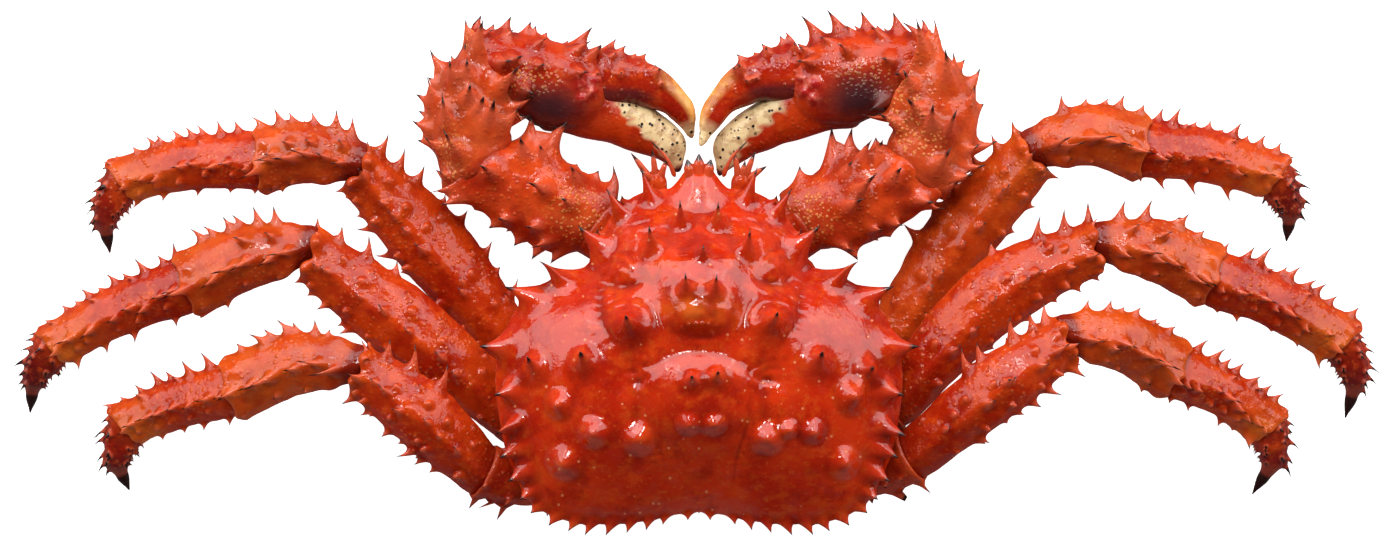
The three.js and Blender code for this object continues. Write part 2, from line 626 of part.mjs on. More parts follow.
for (const [index, [name, claw]] of Object.entries(CLAWS).entries()) {
  const jitter = makeJitter(301 + index);
  const over = anglesOver(name.endsWith("_l") ? Math.PI : 0); // from the outer edge inwards

  const base = new Article([claw.hip, claw.base, claw.root], CLAW_BASE_WIDTHS, 0.85);
  const merus = new Article([claw.root, claw.merus, claw.elbow], CLAW_MERUS_WIDTHS, CLAW_FLATNESS);
  const carpus = new Article([claw.elbow, claw.carpus, claw.wrist], claw.carpus_widths, CLAW_FLATNESS);
  const palm = new Article([claw.wrist, claw.palm, claw.hinge], claw.palm_widths, CLAW_FLATNESS);
  const fixed = new Article(claw.fixed, FIXED_FINGER_WIDTHS, 0.7);
  const movable = new Article(claw.movable, MOVABLE_FINGER_WIDTHS, 0.8);

  const root = new THREE.Vector3(...claw.root);
  const elbow = new THREE.Vector3(...claw.elbow);
  const wrist = new THREE.Vector3(...claw.wrist);
  const hinge = new THREE.Vector3(...claw.movable[0]);
  const rootNormal = jointNormal(base, merus);
  const elbowNormal = jointNormal(merus, carpus);
  const wristNormal = jointNormal(carpus, palm);

  const large = SPINE_HEIGHTS.claw;
  const small = SPINE_HEIGHTS.merus;
  const merusRows = [
    { from: 0.35, to: 0.8, count: 2, angle: over(1), height: large },
    { from: 0.25, to: 0.8, count: 4, angle: over(0), height: small },
    { from: 0.3, to: 0.85, count: 3, angle: over(0.67), height: large },
    { from: 0.4, to: 0.8, count: 2, angle: over(0.33), height: small },
  ];
  const carpusRows = [
    { from: 0.1, to: 0.95, count: 6, angle: over(0), height: small },
    { from: 0.2, to: 0.95, count: 5, angle: over(0.33), height: small },
    { from: 0.25, to: 0.85, count: 3, angle: over(0.67), height: large },
  ];
  const palmRows = [
    { from: 0.1, to: 0.8, count: 5, angle: over(0), height: small },
    { from: 0.2, to: 0.8, count: 3, angle: over(0.33), height: large },
    { from: 0.35, to: 0.8, count: 2, angle: over(0.67), height: small },
  ];
  const fingerRows = [
    { from: 0.18, to: 0.46, count: 3, angle: over(0), height: SPINE_HEIGHTS.finger, lean: 0.2 },
    { from: 0.2, to: 0.32, count: 2, angle: over(0.4), height: SPINE_HEIGHTS.finger, lean: 0.2 },
  ];
  const reach = 10; // past the joints, before they are trimmed
  const shape = { sides: CLAW_SIDES, rings: 11, startReach: reach, endReach: reach, jitter };

  const baseSolid = base.solid({ rings: 6, endReach: reach }).subtract(thoraxClearance);
  const merusSolid = trimStart(merus.solid({ ...shape, rows: merusRows }), root, rootNormal);
  const carpusSolid = trimStart(carpus.solid({ ...shape, rows: carpusRows }), elbow, elbowNormal);
  const fingerShape = { rings: 11, startReach: reach, jitter };
  const fingerSolid = movable.solid({ ...fingerShape, rows: fingerRows });
  const behindHinge = hinge.clone().addScaledVector(movable.startAxis, -GAP);
  const fingerClearance = trimStart(
    movable.solid({ ...fingerShape, grow: 2 * GAP }),
    behindHinge,
    movable.startAxis,
  );
  const palmSkin = palm.solid({ ...shape, rows: palmRows, endReach: 3 });
  const palmSolid = join([palmSkin, fixed.solid({ sides: 10, rings: 9 })]).subtract(fingerClearance);

  crab.add(toMesh(name + "_base", trimEnd(baseSolid, root, rootNormal), shellRed));
  crab.add(toMesh(name + "_merus", trimEnd(merusSolid, elbow, elbowNormal), shellRed));
  crab.add(toMesh(name + "_carpus", trimEnd(carpusSolid, wrist, wristNormal), shellRed));
  crab.add(toMesh(name + "_palm", trimStart(palmSolid, wrist, wristNormal), shellRed));
  crab.add(toMesh(name + "_finger", trimStart(fingerSolid, hinge, movable.startAxis), fingerRed));
}

export default crab;
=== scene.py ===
import math
import bpy
import numpy as np
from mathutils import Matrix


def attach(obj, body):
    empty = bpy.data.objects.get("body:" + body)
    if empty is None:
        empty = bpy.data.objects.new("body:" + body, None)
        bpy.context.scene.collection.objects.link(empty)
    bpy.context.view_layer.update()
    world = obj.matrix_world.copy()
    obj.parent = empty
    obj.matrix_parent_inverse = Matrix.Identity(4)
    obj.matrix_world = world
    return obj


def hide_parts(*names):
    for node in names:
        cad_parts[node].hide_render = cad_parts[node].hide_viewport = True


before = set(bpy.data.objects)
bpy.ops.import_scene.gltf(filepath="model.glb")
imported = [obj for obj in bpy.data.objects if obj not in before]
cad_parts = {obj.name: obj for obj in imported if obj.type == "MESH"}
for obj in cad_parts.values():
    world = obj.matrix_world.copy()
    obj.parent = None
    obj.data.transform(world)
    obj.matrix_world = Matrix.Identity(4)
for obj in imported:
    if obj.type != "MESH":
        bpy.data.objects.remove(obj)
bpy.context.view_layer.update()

# ---------------------------------------------------------------------------
# The table and the studio: the crab lies on a plain white table, under large soft
# boxes in front of its head and at both sides, and the camera hangs straight above it.
# ---------------------------------------------------------------------------

MM = 0.001
CAMERA_PLACE = (-0.00144, 0.02898, 2.63)
CAMERA_LENS = 187.05
WALLS, WALLS_MIRRORED = 0.2, 0.03  # the studio's walls are dim where the wet shell mirrors them
WHITE, WHITE_MIRRORED = (0.95, 0.95, 0.95), (0.12, 0.12, 0.12)
TABLE_GLOW, TABLE_GLOW_SEEN = 0.25, 1.0


def add_node(tree, kind, inputs=None, **settings):
    """Add a shader node, with its settings and what its sockets are given."""
    made = tree.nodes.new(kind)
    for name, value in settings.items():
        setattr(made, name, value)
    for name, value in (inputs or {}).items():
        socket = made.inputs[name]
        if isinstance(value, bpy.types.NodeSocket):
            tree.links.new(value, socket)
        else:
            socket.default_value = (*value, 1.0) if socket.type == "RGBA" else value
    return made


def mixed(tree, share, first, second):
    """First colour where share is 0, second where it is 1."""
    sockets = {0: share, 6: first, 7: second}
    return add_node(tree, "ShaderNodeMix", sockets, data_type="RGBA").outputs[2]


def add_to_scene(name, data, place):
    thing = bpy.data.objects.new(name, data)
    bpy.context.scene.collection.objects.link(thing)
    thing.location = place
    return thing


camera_data = bpy.data.cameras.new("camera_above")
camera_data.sensor_width = 36.0
camera_data.lens = CAMERA_LENS
camera_data.clip_end = 20.0
bpy.context.scene.camera = add_to_scene("camera_above", camera_data, CAMERA_PLACE)
bpy.context.scene.view_settings.view_transform = "Standard"

for name, place, width, depth, power in (
    ("soft_box_front", (0.0, 1.45, 1.05), 2.0, 1.25, 24.0),
    ("soft_box_left", (-1.4, 0.95, 0.95), 1.55, 1.5, 21.0),
    ("soft_box_right", (1.4, 0.95, 0.95), 1.55, 1.5, 21.0),
    ("key_lamp", (-0.25, 1.1, 2.0), 0.42, 0.42, 16.0),
):
    lamp_data = bpy.data.lights.new(name, "AREA")
    lamp_data.shape = "RECTANGLE"
    lamp_data.size, lamp_data.size_y, lamp_data.energy = width, depth, power
    lamp = add_to_scene(name, lamp_data, place)
    towards_crab = -lamp.location.normalized()
    lamp.rotation_euler = towards_crab.to_track_quat("-Z", "Y").to_euler()

world = bpy.data.worlds.new("studio_air")
world.use_nodes = True
air = world.node_tree
mirrored = add_node(air, "ShaderNodeLightPath").outputs["Is Glossy Ray"]
walls = {"Value": mirrored, "To Min": WALLS, "To Max": WALLS_MIRRORED}
dimming = add_node(air, "ShaderNodeMapRange", walls).outputs["Result"]
air.nodes["Background"].inputs["Color"].default_value = (1.0, 1.0, 1.0, 1.0)
air.links.new(dimming, air.nodes["Background"].inputs["Strength"])
bpy.context.scene.world = world

bpy.ops.object.select_all(action="DESELECT")
bpy.ops.mesh.primitive_plane_add(size=12.0, location=(0.0, 0.0, 0.0))
table = bpy.context.object
table.name = "table"
table_paint = bpy.data.materials.new("white_table")
table_paint.use_nodes = True
paint_tree = table_paint.node_tree
table_shader = paint_tree.nodes["Principled BSDF"]
table_ray = add_node(paint_tree, "ShaderNodeLightPath").outputs
table_tone = mixed(paint_tree, table_ray["Is Glossy Ray"], WHITE, WHITE_MIRRORED)
glow = {"Value": table_ray["Is Camera Ray"], "To Min": TABLE_GLOW, "To Max": TABLE_GLOW_SEEN}
table_glow = add_node(paint_tree, "ShaderNodeMapRange", glow).outputs["Result"]
paint_tree.links.new(table_tone, table_shader.inputs["Base Color"])
paint_tree.links.new(table_tone, table_shader.inputs["Emission Color"])
paint_tree.links.new(table_glow, table_shader.inputs["Emission Strength"])
table_shader.inputs["Roughness"].default_value = 0.8
table_shader.inputs["Specular IOR Level"].default_value = 0.0
table.data.materials.append(table_paint)

# ---------------------------------------------------------------------------
# Carapace: the back shield, one hard moulted shell of chitin and lime that has cooked from
# brown to orange red. Its swellings lie over the organs, with grooves between them, and
# thorns stand on its back and all round its margin.
# ---------------------------------------------------------------------------


def both_sides(*rows):
    """Each row as it is, and again with its first number, the place across, mirrored."""
    return [(side * across, *rest) for across, *rest in rows for side in (1, -1)]


CARAPACE_OUTLINE = [  # right half, from the middle of the front round to the rear, in mm
    (0, 58), (19, 57), (28, 52), (35, 42), (40, 30), (54, 24), (65, 15), (71, 3),
    (73, -10), (71.5, -25), (68, -40), (60, -54), (48, -60), (30, -61.5), (12, -59.5), (0, -58),
]
MARGIN_Z = 41.0
CROWN_RISE = 28.5
FRONT_SLOPE, REAR_SLOPE = 0.28, 0.06
SWELLINGS = [  # middle, radii and height; negative ones are hollows
    (0, 26, 21, 26, 7), (0, 14, 16, 8, 2.5), (0, -21, 19, 17, 6.8), (0, 2.5, 14, 7, -2.0),
    (0, 9.8, 6, 1.6, 0.7), (26, 11.5, 8.5, 8, 7.5), (-25, 10.5, 8.5, 8, 7.5),
    (16, 16, 5, 13, -1.8), (-15, 16, 5, 13, -1.8), (36, 16, 5, 12, -1.2), (-35, 16, 5, 12, -1.2),
    (23, -26, 4, 20, -2.2), (-22, -26, 4, 20, -2.2), (29.2, 30.6, 6.5, 4.5, 3.4),
    (-29.7, 29.4, 6.8, 4.8, 4.0), (0, 33, 10, 7, 2.0), (0, 44, 12, 9, 2.6), (0, -9, 14, 5, 1.6),
    *both_sides((44, -22, 26, 30, 3), (24, -8, 7, 9, -2.4), (13, 33, 6, 8, 2.2),
                (40, 38, 4, 8, 2.4), (11, 42, 3, 7, -1.4), (22, 40, 5, 9, 1.6)),
]
RIMS = [  # raised rims round the front of lobes: middle, radii, height and share of the radius
    (-29.7, 29.4, 5.4, 4, 1.3, 0.24), (29.2, 30.6, 5.4, 4, 0.8, 0.24),
    (0, -17, 18.5, 14.5, 0.35, 0.14), (26, 11.5, 7.6, 7, 0.8, 0.16), (-25, 10.5, 7.6, 7, 0.8, 0.16),
]
GROOVES = [  # lines of the sutures, with their width and depth
    ([(-26, -14), (-21, -10), (-13, -3), (0, 0), (13, -3), (22, -9.5), (29, -12)], 2.4, 0.6),
    ([(20, -12), (17, -26), (13.5, -38), (12, -50)], 1.1, 0.6),
    ([(-20, -14), (-17, -28), (-13, -38), (-12, -48)], 1.3, 0.35),
    ([(-36, 24), (-34, 11), (-27, 0)], 2.2, 0.9), ([(37, 25), (34, 11), (28, 1)], 2.2, 0.9),
    ([(-34, 23.5), (-26, 23), (-20, 25)], 1.6, 1.2), ([(34, 24.5), (26, 24), (20, 26)], 1.6, 1.2),
    ([(-6, 6.2), (0, 5.4), (6, 6.2)], 2.0, 0.9),
]
WRINKLES = [  # where the shell is puckered: middle, radius and height
    (-29, 20, 8, 0.4), (30, 21, 8, 0.4), (-21, -9, 6, 0.35), (23, -9, 6, 0.35),
    (-15, -40, 8, 0.12), (14, -40, 8, 0.12), (20, 47, 9, 0.25), (-20, 47, 9, 0.25),
    (-32, 6, 5, 0.25), (33, 7, 5, 0.25), (0, 26, 14, 0.13), (0, 8, 8, 0.15),
]
# Thorns of the margin: place of the tip, how far inside the margin the foot is, its spread.
MARGIN_THORNS = [
    (21, 66, 3, 4.6), (33.5, 58.5, 2, 4.6), (43.6, 45, 2, 8.5), (57, 31, 2, 10), (70, 23, 2, 10),
    (79, 1.5, 3, 10), (73.5, -16, 7, 8), (72.5, -30, 6, 8), (71.5, -38.5, 5, 7.5),
    (68.5, -47, 4, 7), (64, -53.5, 2, 5.5), (60.5, -58.5, 1, 5.5), (54, -63, 0.5, 5.5),
    (47, -65, 0.5, 5), (41, -66.4, 0.5, 5), (33.5, -66.5, 0.5, 5.2), (26, -65.6, 0.5, 4.6),
    (19, -64.6, 0.5, 4.6), (13, -62.6, 0.5, 3.6), (4, -61.0, 0.5, 3.6),
]
FAR_INSIDE = 1.5  # thorns whose foot is further in than this stand up from the back
# Thorns and blunt knobs of the back: place, height, forward lean, spread of the foot.
BACK_THORNS = [
    (6.4, 45.5, 6.8, 0.85, 5.6), (-6.4, 46, 6.8, 0.85, 5.6), (16.8, 36, 7.4, 0.8, 6.2),
    (-16.6, 37, 7.4, 0.8, 6.2), (5.6, 21, 6.5, 0.8, 5), (-4.4, 21.5, 6.5, 0.8, 5),
    (1.4, 34, 4, 0.7, 4), (26.6, 10.5, 6.5, 0.5, 6.5), (-25.2, 9.5, 6.5, 0.5, 6.5),
    (6.2, -9.5, 6.5, 0.35, 6), (-2.4, -10.5, 6.5, 0.35, 6), (42.5, -4, 8.5, 0.45, 9),
    (-41, -4, 8.5, 0.45, 9), (60, -7, 9, 0.1, 8), (-59, -6, 9, 0.45, 8), (3.5, 9.5, 1.6, 0.8, 1.2),
    (1.2, 9.8, 1.8, 0.8, 1.2), (-1.2, 9.6, 1.6, 0.8, 1.2), (6, 9, 1.4, 0.8, 1.2),
    (-3.6, 9.2, 1.6, 0.8, 1.2), (-6, 8.6, 1.2, 0.8, 1.1),
    *both_sides((35, 40, 5, 0.6, 5.5), (27, 52, 4.5, 0.6, 5)),
]
BACK_KNOBS = [
    (5.2, -26, 3.4, 0.1, 6), (-3.6, -26, 3.4, 0.1, 6), (54.7, -16, 5.8, 0, 8.5),
    (-50, -19, 4.8, 0, 7), (40.7, -29, 3.8, 0, 6.2), (-37.4, -29, 5, 0, 7.8),
    (24.5, -31, 5.2, 0, 8.2), (-21.2, -31, 5.2, 0, 8.7), (32, -28, 3.2, 0, 4.8),
    (51.8, -40, 4.4, 0, 8.2), (-48.2, -40, 4.7, 0, 8.7), (66, -27, 4.5, 0, 5),
    (-64, -25, 4.5, 0, 5), *both_sides((47, 24, 4, 0.2, 5)),
]
BEAK_FOOT, BEAK_TIP = np.array([0.0, 56.0, 43.0]), np.array([0.0, 67.0, 42.7])
BEAK_RADII, BEAK_REACH, BEAK_PINCH = (11.5, 13.0, 9.0), 9.0, 0.22


def line_places(points, shares):
    """Places and directions on a smooth line through the points, from share 0 to share 1."""
    points = np.asarray(points, float)
    padded = np.vstack([2 * points[0] - points[1], points, 2 * points[-1] - points[-2]])
    inside = np.clip(shares, 0.0, 1.0) * (len(points) - 1)
    piece = np.minimum(inside.astype(int), len(points) - 2)
    part = (inside - piece)[:, None]
    before, start, end, after = (padded[piece + i] for i in range(4))

    def gap(a, b):
        return np.maximum(np.linalg.norm(b - a, axis=1, keepdims=True), 1e-6) ** 0.5

    first, middle, last = gap(before, start), gap(start, end), gap(end, after)
    leave = (start - before) / first - (end - before) / (first + middle) + (end - start) / middle
    arrive = (end - start) / middle - (after - start) / (middle + last) + (after - end) / last
    leave, arrive = leave * middle, arrive * middle
    square = -3 * start + 3 * end - 2 * leave - arrive
    cube = 2 * start - 2 * end + leave + arrive
    place = start + leave * part + square * part**2 + cube * part**3
    forward = leave + 2 * square * part + 3 * cube * part**2
    forward /= np.linalg.norm(forward, axis=1, keepdims=True)
    return place, forward


def ramp(value, low, high):
    """Rises evenly from 0 where the value is low to 1 where it is high."""
    return np.clip((value - low) / (high - low), 0, 1)


def eased(share):
    """The same share with a gentle start and end."""
    return share * share * (3 - 2 * share)


def hump(off, breadth):
    """1 where off is 0, falling away over the breadth to both sides."""
    return np.exp(-((off / breadth) ** 2))


def from_above(skin, middle, size):
    """Squared distance from a place as seen from above, in units of a size."""
    return (((skin[:, :2] - middle) / size) ** 2).sum(axis=1)


def unevenness(places, wavelength, seed):
    """Gentle unevenness of natural shell, about -1 to 1, that changes over a wavelength."""
    draw = np.random.default_rng(seed)
    total = np.zeros(len(places))
    for _ in range(10):
        way = draw.normal(size=3)
        way *= 2 * np.pi / (wavelength * draw.uniform(0.7, 1.5) * np.linalg.norm(way))
        total += np.sin(places @ way + draw.uniform(0, 2 * np.pi))
    return total / 3.2


def grow_thorns(skin, thorns):
    """Draw the skin out into thorns, each (foot, outward, tip, spread, blunt).

    Returns the new places, and how far up a thorn each of them is.
    """
    moved = skin.copy()
    horn = np.zeros(len(skin))
    owner = np.full(len(skin), -1)
    nearest = np.ones(len(skin))
    centres = []
    for number, (foot, _, tip, spread, blunt) in enumerate(thorns):
        centre = skin[np.argmin(((skin - foot) ** 2).sum(axis=1))]
        centres.append(centre)
        away = np.sqrt(((skin - centre) ** 2).sum(axis=1)) / spread
        if blunt:  # a knob, round on top, which may run into the next one
            away = (np.sqrt(np.minimum(away, 1) ** 2 + 0.01) - 0.1) / 0.905
            up = 0.45 * (1 - away) ** 2 + 0.55 * (0.5 + 0.5 * np.cos(np.pi * away))
            moved += np.outer(up, np.asarray(tip) - centre)
            horn = np.maximum(horn, 0.6 * up**2)
            continue
        closer = away < nearest
        nearest[closer] = away[closer]
        owner[closer] = number
    for number, (_, outward, tip, _, blunt) in enumerate(thorns):
        if blunt:
            continue
        own = owner == number
        away = nearest[own]
        reach = np.asarray(tip) - centres[number]
        height = max(reach @ outward, 0.35 * np.linalg.norm(reach))
        lean = reach - height * outward
        up = 0.9 * (1 - away) ** 1.45 + 0.1 * (1 - away) ** 6
        narrow = 0.68 + 0.32 * away**3
        horn[own] = up
        rise = np.outer(up * height, outward) + np.outer(up**1.6, lean)
        moved[own] += (skin[own] - centres[number]) * (narrow - 1)[:, None] + rise
    return moved, horn


def read_vertices(piece, what="co"):
    values = np.empty(len(piece.data.vertices) * 3, np.float32)
    piece.data.vertices.foreach_get(what, values)
    return values.reshape(-1, 3).astype(float)


def write_places(piece, places):
    piece.data.vertices.foreach_set("co", (places * MM).astype(np.float32).ravel())
    piece.data.update()


def write_mask(piece, name, values):
    """Keep a number for each vertex, which the material reads by its name."""
    values = np.clip(values, 0, 1) * np.ones(len(piece.data.vertices))
    mask = piece.data.attributes.new(name, "FLOAT", "POINT")
    mask.data.foreach_set("value", values.astype(np.float32))


def take_shape(piece, skin):
    """Write a finished skin to its piece, smooth, with every face looking out."""
    write_places(piece, skin)
    bpy.ops.object.select_all(action="DESELECT")
    piece.select_set(True)
    bpy.context.view_layer.objects.active = piece
    bpy.ops.object.mode_set(mode="EDIT")
    bpy.ops.mesh.select_all(action="SELECT")
    bpy.ops.mesh.normals_make_consistent(inside=False)
    bpy.ops.object.mode_set(mode="OBJECT")
    bpy.ops.object.shade_smooth()


def write_painted_crease_light(piece):
    """Keep how deep a place lies in a crease of its piece, and how far it stands out: masks that
    paint shade into its creases and a highlight onto its convex edges.
    """
    places, normals = read_vertices(piece) / MM, read_vertices(piece, "normal")
    ends = np.empty(len(piece.data.edges) * 2, np.int32)
    piece.data.edges.foreach_get("vertices", ends)
    first, second = ends.reshape(-1, 2).T
    way = places[second] - places[first]
    way /= np.linalg.norm(way, axis=1, keepdims=True) + 1e-6
    count = len(places)
    meeting = np.bincount(first, minlength=count) + np.bincount(second, minlength=count)

    def gathered(from_first, from_second):
        total = np.bincount(first, from_first, count) + np.bincount(second, from_second, count)
        return total / np.maximum(meeting, 1)

    bend = gathered((way * normals[first]).sum(axis=1), -(way * normals[second]).sum(axis=1))
    for _ in range(4):
        bend = 0.5 * bend + 0.5 * gathered(bend[second], bend[first])
    # masks for painted shade in the creases and a painted highlight on the convex edges
    write_mask(piece, "painted_crease_shade", bend * 9)
    write_mask(piece, "painted_edge_highlight", -bend * 7 - 0.35)


def hand_over(piece, skin, node, slot, material, **masks):
    """Give a piece its finished skin, its masks, its material and its place in the model."""
    if skin is not None:
        take_shape(piece, skin)
    for name, values in masks.items():
        write_mask(piece, name, values)
    write_painted_crease_light(piece)
    piece.data.materials.clear()
    piece.data.materials.append(material)
    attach(piece, "root")
    if node:
        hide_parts(node)


def make_shell_group():
    """Colour, gloss and fine relief of cooked crab shell.

    It reads the masks of a piece: horn up its thorns, pale where the shell fades to orange
    yellow and, on some leg articles, where light is painted in to lift their shade, grain where
    gold granules stand, cream on the biting faces, plum on the dark plum patches and on a patch of
    painted shade on the palm, dark on stains and seams and where shade is painted into joints,
    grooves and the rear of the shield, flesh at a hinge, and from the shape itself a crease mask
    that paints shade into creases and an edge mask that paints a highlight on convex edges.
    """
    group = bpy.data.node_groups.new("Cooked shell", "ShaderNodeTree")
    for name, way, kind in (
        ("Bright", "INPUT", "Color"), ("Deep", "INPUT", "Color"), ("Pale", "INPUT", "Color"),
        ("Pits", "INPUT", "Float"), ("Pimples", "INPUT", "Float"), ("Colour", "OUTPUT", "Color"),
        ("Roughness", "OUTPUT", "Float"), ("Height", "OUTPUT", "Float"),
    ):
        group.interface.new_socket(name, in_out=way, socket_type="NodeSocket" + kind)
    given = add_node(group, "NodeGroupInput").outputs
    place = add_node(group, "ShaderNodeTexCoord").outputs["Object"]

    def mask(name):
        return add_node(group, "ShaderNodeAttribute", attribute_name=name).outputs["Fac"]

    def noise(scale, detail, roughness=0.5):
        sockets = {"Vector": place, "Scale": scale, "Detail": detail, "Roughness": roughness}
        return add_node(group, "ShaderNodeTexNoise", sockets).outputs["Fac"]

    def band(value, low, high, bottom=0.0, top=1.0):
        """Rise smoothly from bottom to top while the value goes from low to high."""
        sockets = {"Value": value, "From Min": low, "From Max": high, "To Min": bottom,
                   "To Max": top}
        smooth = {"interpolation_type": "SMOOTHSTEP"}
        return add_node(group, "ShaderNodeMapRange", sockets, **smooth).outputs["Result"]

    def dots(scale, edge, core, where=place):
        """A round dot in each cell, 0 outside its edge and 1 inside its core."""
        cells = add_node(group, "ShaderNodeTexVoronoi", {"Vector": where, "Scale": scale})
        return band(cells.outputs["Distance"], edge, core)

    def together(operation, total, *others):
        for other in others:
            sockets = {0: total, 1: other}
            total = add_node(group, "ShaderNodeMath", sockets, operation=operation).outputs[0]
        return total

    def times(*factors):
        return together("MULTIPLY", *factors)

    flat = add_node(
        group, "ShaderNodeVectorMath", {0: place, 1: (1.0, 1.0, 0.0)}, operation="MULTIPLY"
    ).outputs["Vector"]
    horn, cream = mask("horn"), mask("cream")
    pimples = times(dots(430.0, 0.4, 0.05), band(noise(60.0, 2.0), 0.42, 0.58), given["Pimples"])
    pits = times(dots(190.0, 0.12, 0.07, flat), band(noise(30.0, 1.0), 0.34, 0.42), given["Pits"])
    granules = times(dots(660.0, 0.45, 0.24), band(mask("grain"), 0.15, 0.8))
    specks = times(
        dots(430.0, 0.3, 0.2), band(cream, 0.5, 0.8), band(noise(180.0, 1.0), 0.36, 0.42)
    )
    worn = times(band(noise(240.0, 3.0, 0.6), 0.46, 0.6), band(cream, 0.3, 0.8), 0.55)
    flank = times(band(horn, 0.1, 0.5, 0.0, 0.55), band(given["Pits"], 0.0, 1.0, 1.0, 0.2))
    fibres = band(noise(330.0, 3.0, 0.6), 0.45, 0.7)
    colour = given["Deep"]
    for share, tint in (
        (band(noise(34.0, 3.0), 0.38, 0.62), given["Bright"]),
        (band(noise(150.0, 4.0, 0.62), 0.48, 0.66, 0.0, 0.6), (0.6, 0.062, 0.005)),  # glow
        (band(noise(520.0, 2.0, 0.6), 0.56, 0.76, 0.0, 0.5), (0.64, 0.1, 0.015)),  # flecks
        (band(noise(95.0, 5.0, 0.65), 0.48, 0.66, 0.0, 0.75), (0.33, 0.009, 0.0015)),  # stains
        (times(pimples, 0.45), (0.72, 0.15, 0.035)),
        # painted highlight: orange on convex edges; painted shade: dark red in creases and round
        # the feet of thorns
        (times(mask("painted_edge_highlight"), 0.45), (0.64, 0.1, 0.03)),
        (times(mask("painted_crease_shade"), 0.8), (0.2, 0.004, 0.001)),
        # pale: orange yellow of the shell, and on some leg articles light painted in to lift their
        # shade
        (times(mask("pale"), band(noise(160.0, 3.0), 0.3, 0.65, 0.35, 1.0)), given["Pale"]),
        (times(pits, 0.75), (0.76, 0.24, 0.1)),
        (times(granules, 0.75), (0.76, 0.27, 0.06)),
        (flank, (0.66, 0.11, 0.05)),
        # dark: stains and seams, and shade painted into joints, grooves and the rear of the shield
        (times(mask("dark"), 0.9), (0.16, 0.006, 0.003)),
        # plum: dark plum patches of the shell, and a patch of painted shade on the palm
        (mask("plum_and_shade"), (0.035, 0.012, 0.016)),
        (cream, (0.7, 0.52, 0.27)),
        (worn, (0.3, 0.12, 0.04)),
        (specks, (0.015, 0.008, 0.008)),
        (mask("flesh"), mixed(group, fibres, (0.36, 0.012, 0.01), (0.66, 0.14, 0.09))),
        (band(horn, 0.64, 0.84), (0.022, 0.007, 0.006)),  # the thorns' dark points
    ):
        colour = mixed(group, share, colour, tint)
    rough = band(noise(170.0, 3.0, 0.6), 0.4, 0.7, 0.07, 0.24)
    height = together(
        "ADD", times(noise(400.0, 2.0, 0.55), 0.8), times(noise(1300.0, 2.0), 0.2),
        times(granules, 0.7), times(pits, -0.6), times(pimples, 0.9),
    )
    results = {"Colour": colour, "Roughness": rough, "Height": height}
    add_node(group, "NodeGroupOutput", results)
    return group


shell_group = make_shell_group()


def make_shell_material(name, bright, deep, pale, pits=0.0, relief=0.55, pimples=1.0, gloss=0.42):
    """A glossy wet shell in its own colours."""
    material = bpy.data.materials.new(name)
    material.use_nodes = True
    tree = material.node_tree
    shader = tree.nodes["Principled BSDF"]
    own = {"Bright": bright, "Deep": deep, "Pale": pale, "Pits": pits, "Pimples": pimples}
    shell = add_node(tree, "ShaderNodeGroup", own, node_tree=shell_group).outputs
    sockets = {"Height": shell["Height"], "Strength": relief, "Distance": 0.8 * MM}
    bump = add_node(tree, "ShaderNodeBump", sockets)
    tree.links.new(shell["Colour"], shader.inputs["Base Color"])
    tree.links.new(shell["Roughness"], shader.inputs["Roughness"])
    tree.links.new(bump.outputs["Normal"], shader.inputs["Normal"])
    shader.inputs["IOR"].default_value = 1.48
    shader.inputs["Specular IOR Level"].default_value = gloss
    return material


back_shell = make_shell_material(
    "carapace_shell", (0.58, 0.03, 0.003), (0.45, 0.014, 0.0015), (0.66, 0.15, 0.015),
    1.0, 0.22, 0.2, 0.66,
)

half_outline = [(x, y, 0.0) for x, y in CARAPACE_OUTLINE]
whole_outline = half_outline + [(-x, y, 0.0) for x, y, _ in half_outline[-2:0:-1]]
closed_outline = whole_outline[-2:] + whole_outline + whole_outline[:3]
outline, _ = line_places(closed_outline, np.linspace(0, 1, 2001))
outline_angle = np.arctan2(outline[:, 1], outline[:, 0])
outline_order = np.argsort(outline_angle)


def outline_reach(angle):
    """How far the outline lies from the middle, towards an angle."""
    reach = np.hypot(outline[:, 0], outline[:, 1])[outline_order]
    return np.interp(angle, outline_angle[outline_order], reach, period=2 * np.pi)


def groove_depth(x, y, points, width, depth):
    """Depth of a narrow groove along a line, which fades at both ends."""
    place, _ = line_places([(px, py, 0.0) for px, py in points], np.linspace(0, 1, 60))
    fade = np.sin(np.linspace(0.12, 0.88, 60) * np.pi)
    cut = np.zeros_like(x)
    for (px, py, _), share in zip(place, fade):
        cut = np.maximum(cut, share * np.exp(-((x - px) ** 2 + (y - py) ** 2) / width**2))
    return cut * depth


def swelling(x, y):
    height = np.zeros(len(x))
    for middle_x, middle_y, reach_x, reach_y, rise in SWELLINGS:
        away = ((x - middle_x) / reach_x) ** 2 + ((y - middle_y) / reach_y) ** 2
        height += rise * np.exp(-1.4 * away)
    return height


def rims(x, y):
    height = np.zeros(len(x))
    for middle_x, middle_y, reach_x, reach_y, rise, breadth in RIMS:
        away = np.hypot((x - middle_x) / reach_x, (y - middle_y) / reach_y)
        ahead = np.clip(0.65 + (y - middle_y) / reach_y, 0, 1)
        height += rise * ahead * hump(away - 1, breadth)
    return height


def back_height(x, y, share):
    """Height of the back at a place; share is 0 in the middle and 1 on the margin."""
    crown = CROWN_RISE - FRONT_SLOPE * np.maximum(y - 20, 0) - REAR_SLOPE * np.maximum(-10 - y, 0)
    dome = crown * (1 - share**2.2) ** 0.88
    return MARGIN_Z + dome + swelling(x, y) * (1 - share**4)


def on_the_back(x, y):
    """Place on the back, without its fine relief, and which way is up from it."""
    step = 0.5
    spots = np.array([[x, y], [x + step, y], [x, y + step]], float)
    reach = outline_reach(np.arctan2(spots[:, 1], spots[:, 0]))
    near = np.clip(np.hypot(spots[:, 0], spots[:, 1]) / reach, 0, 1)
    z = back_height(spots[:, 0], spots[:, 1], near)
    outward = np.array([(z[0] - z[1]) / step, (z[0] - z[2]) / step, 1.0])
    return np.array([x, y, z[0]]), outward / np.linalg.norm(outward)


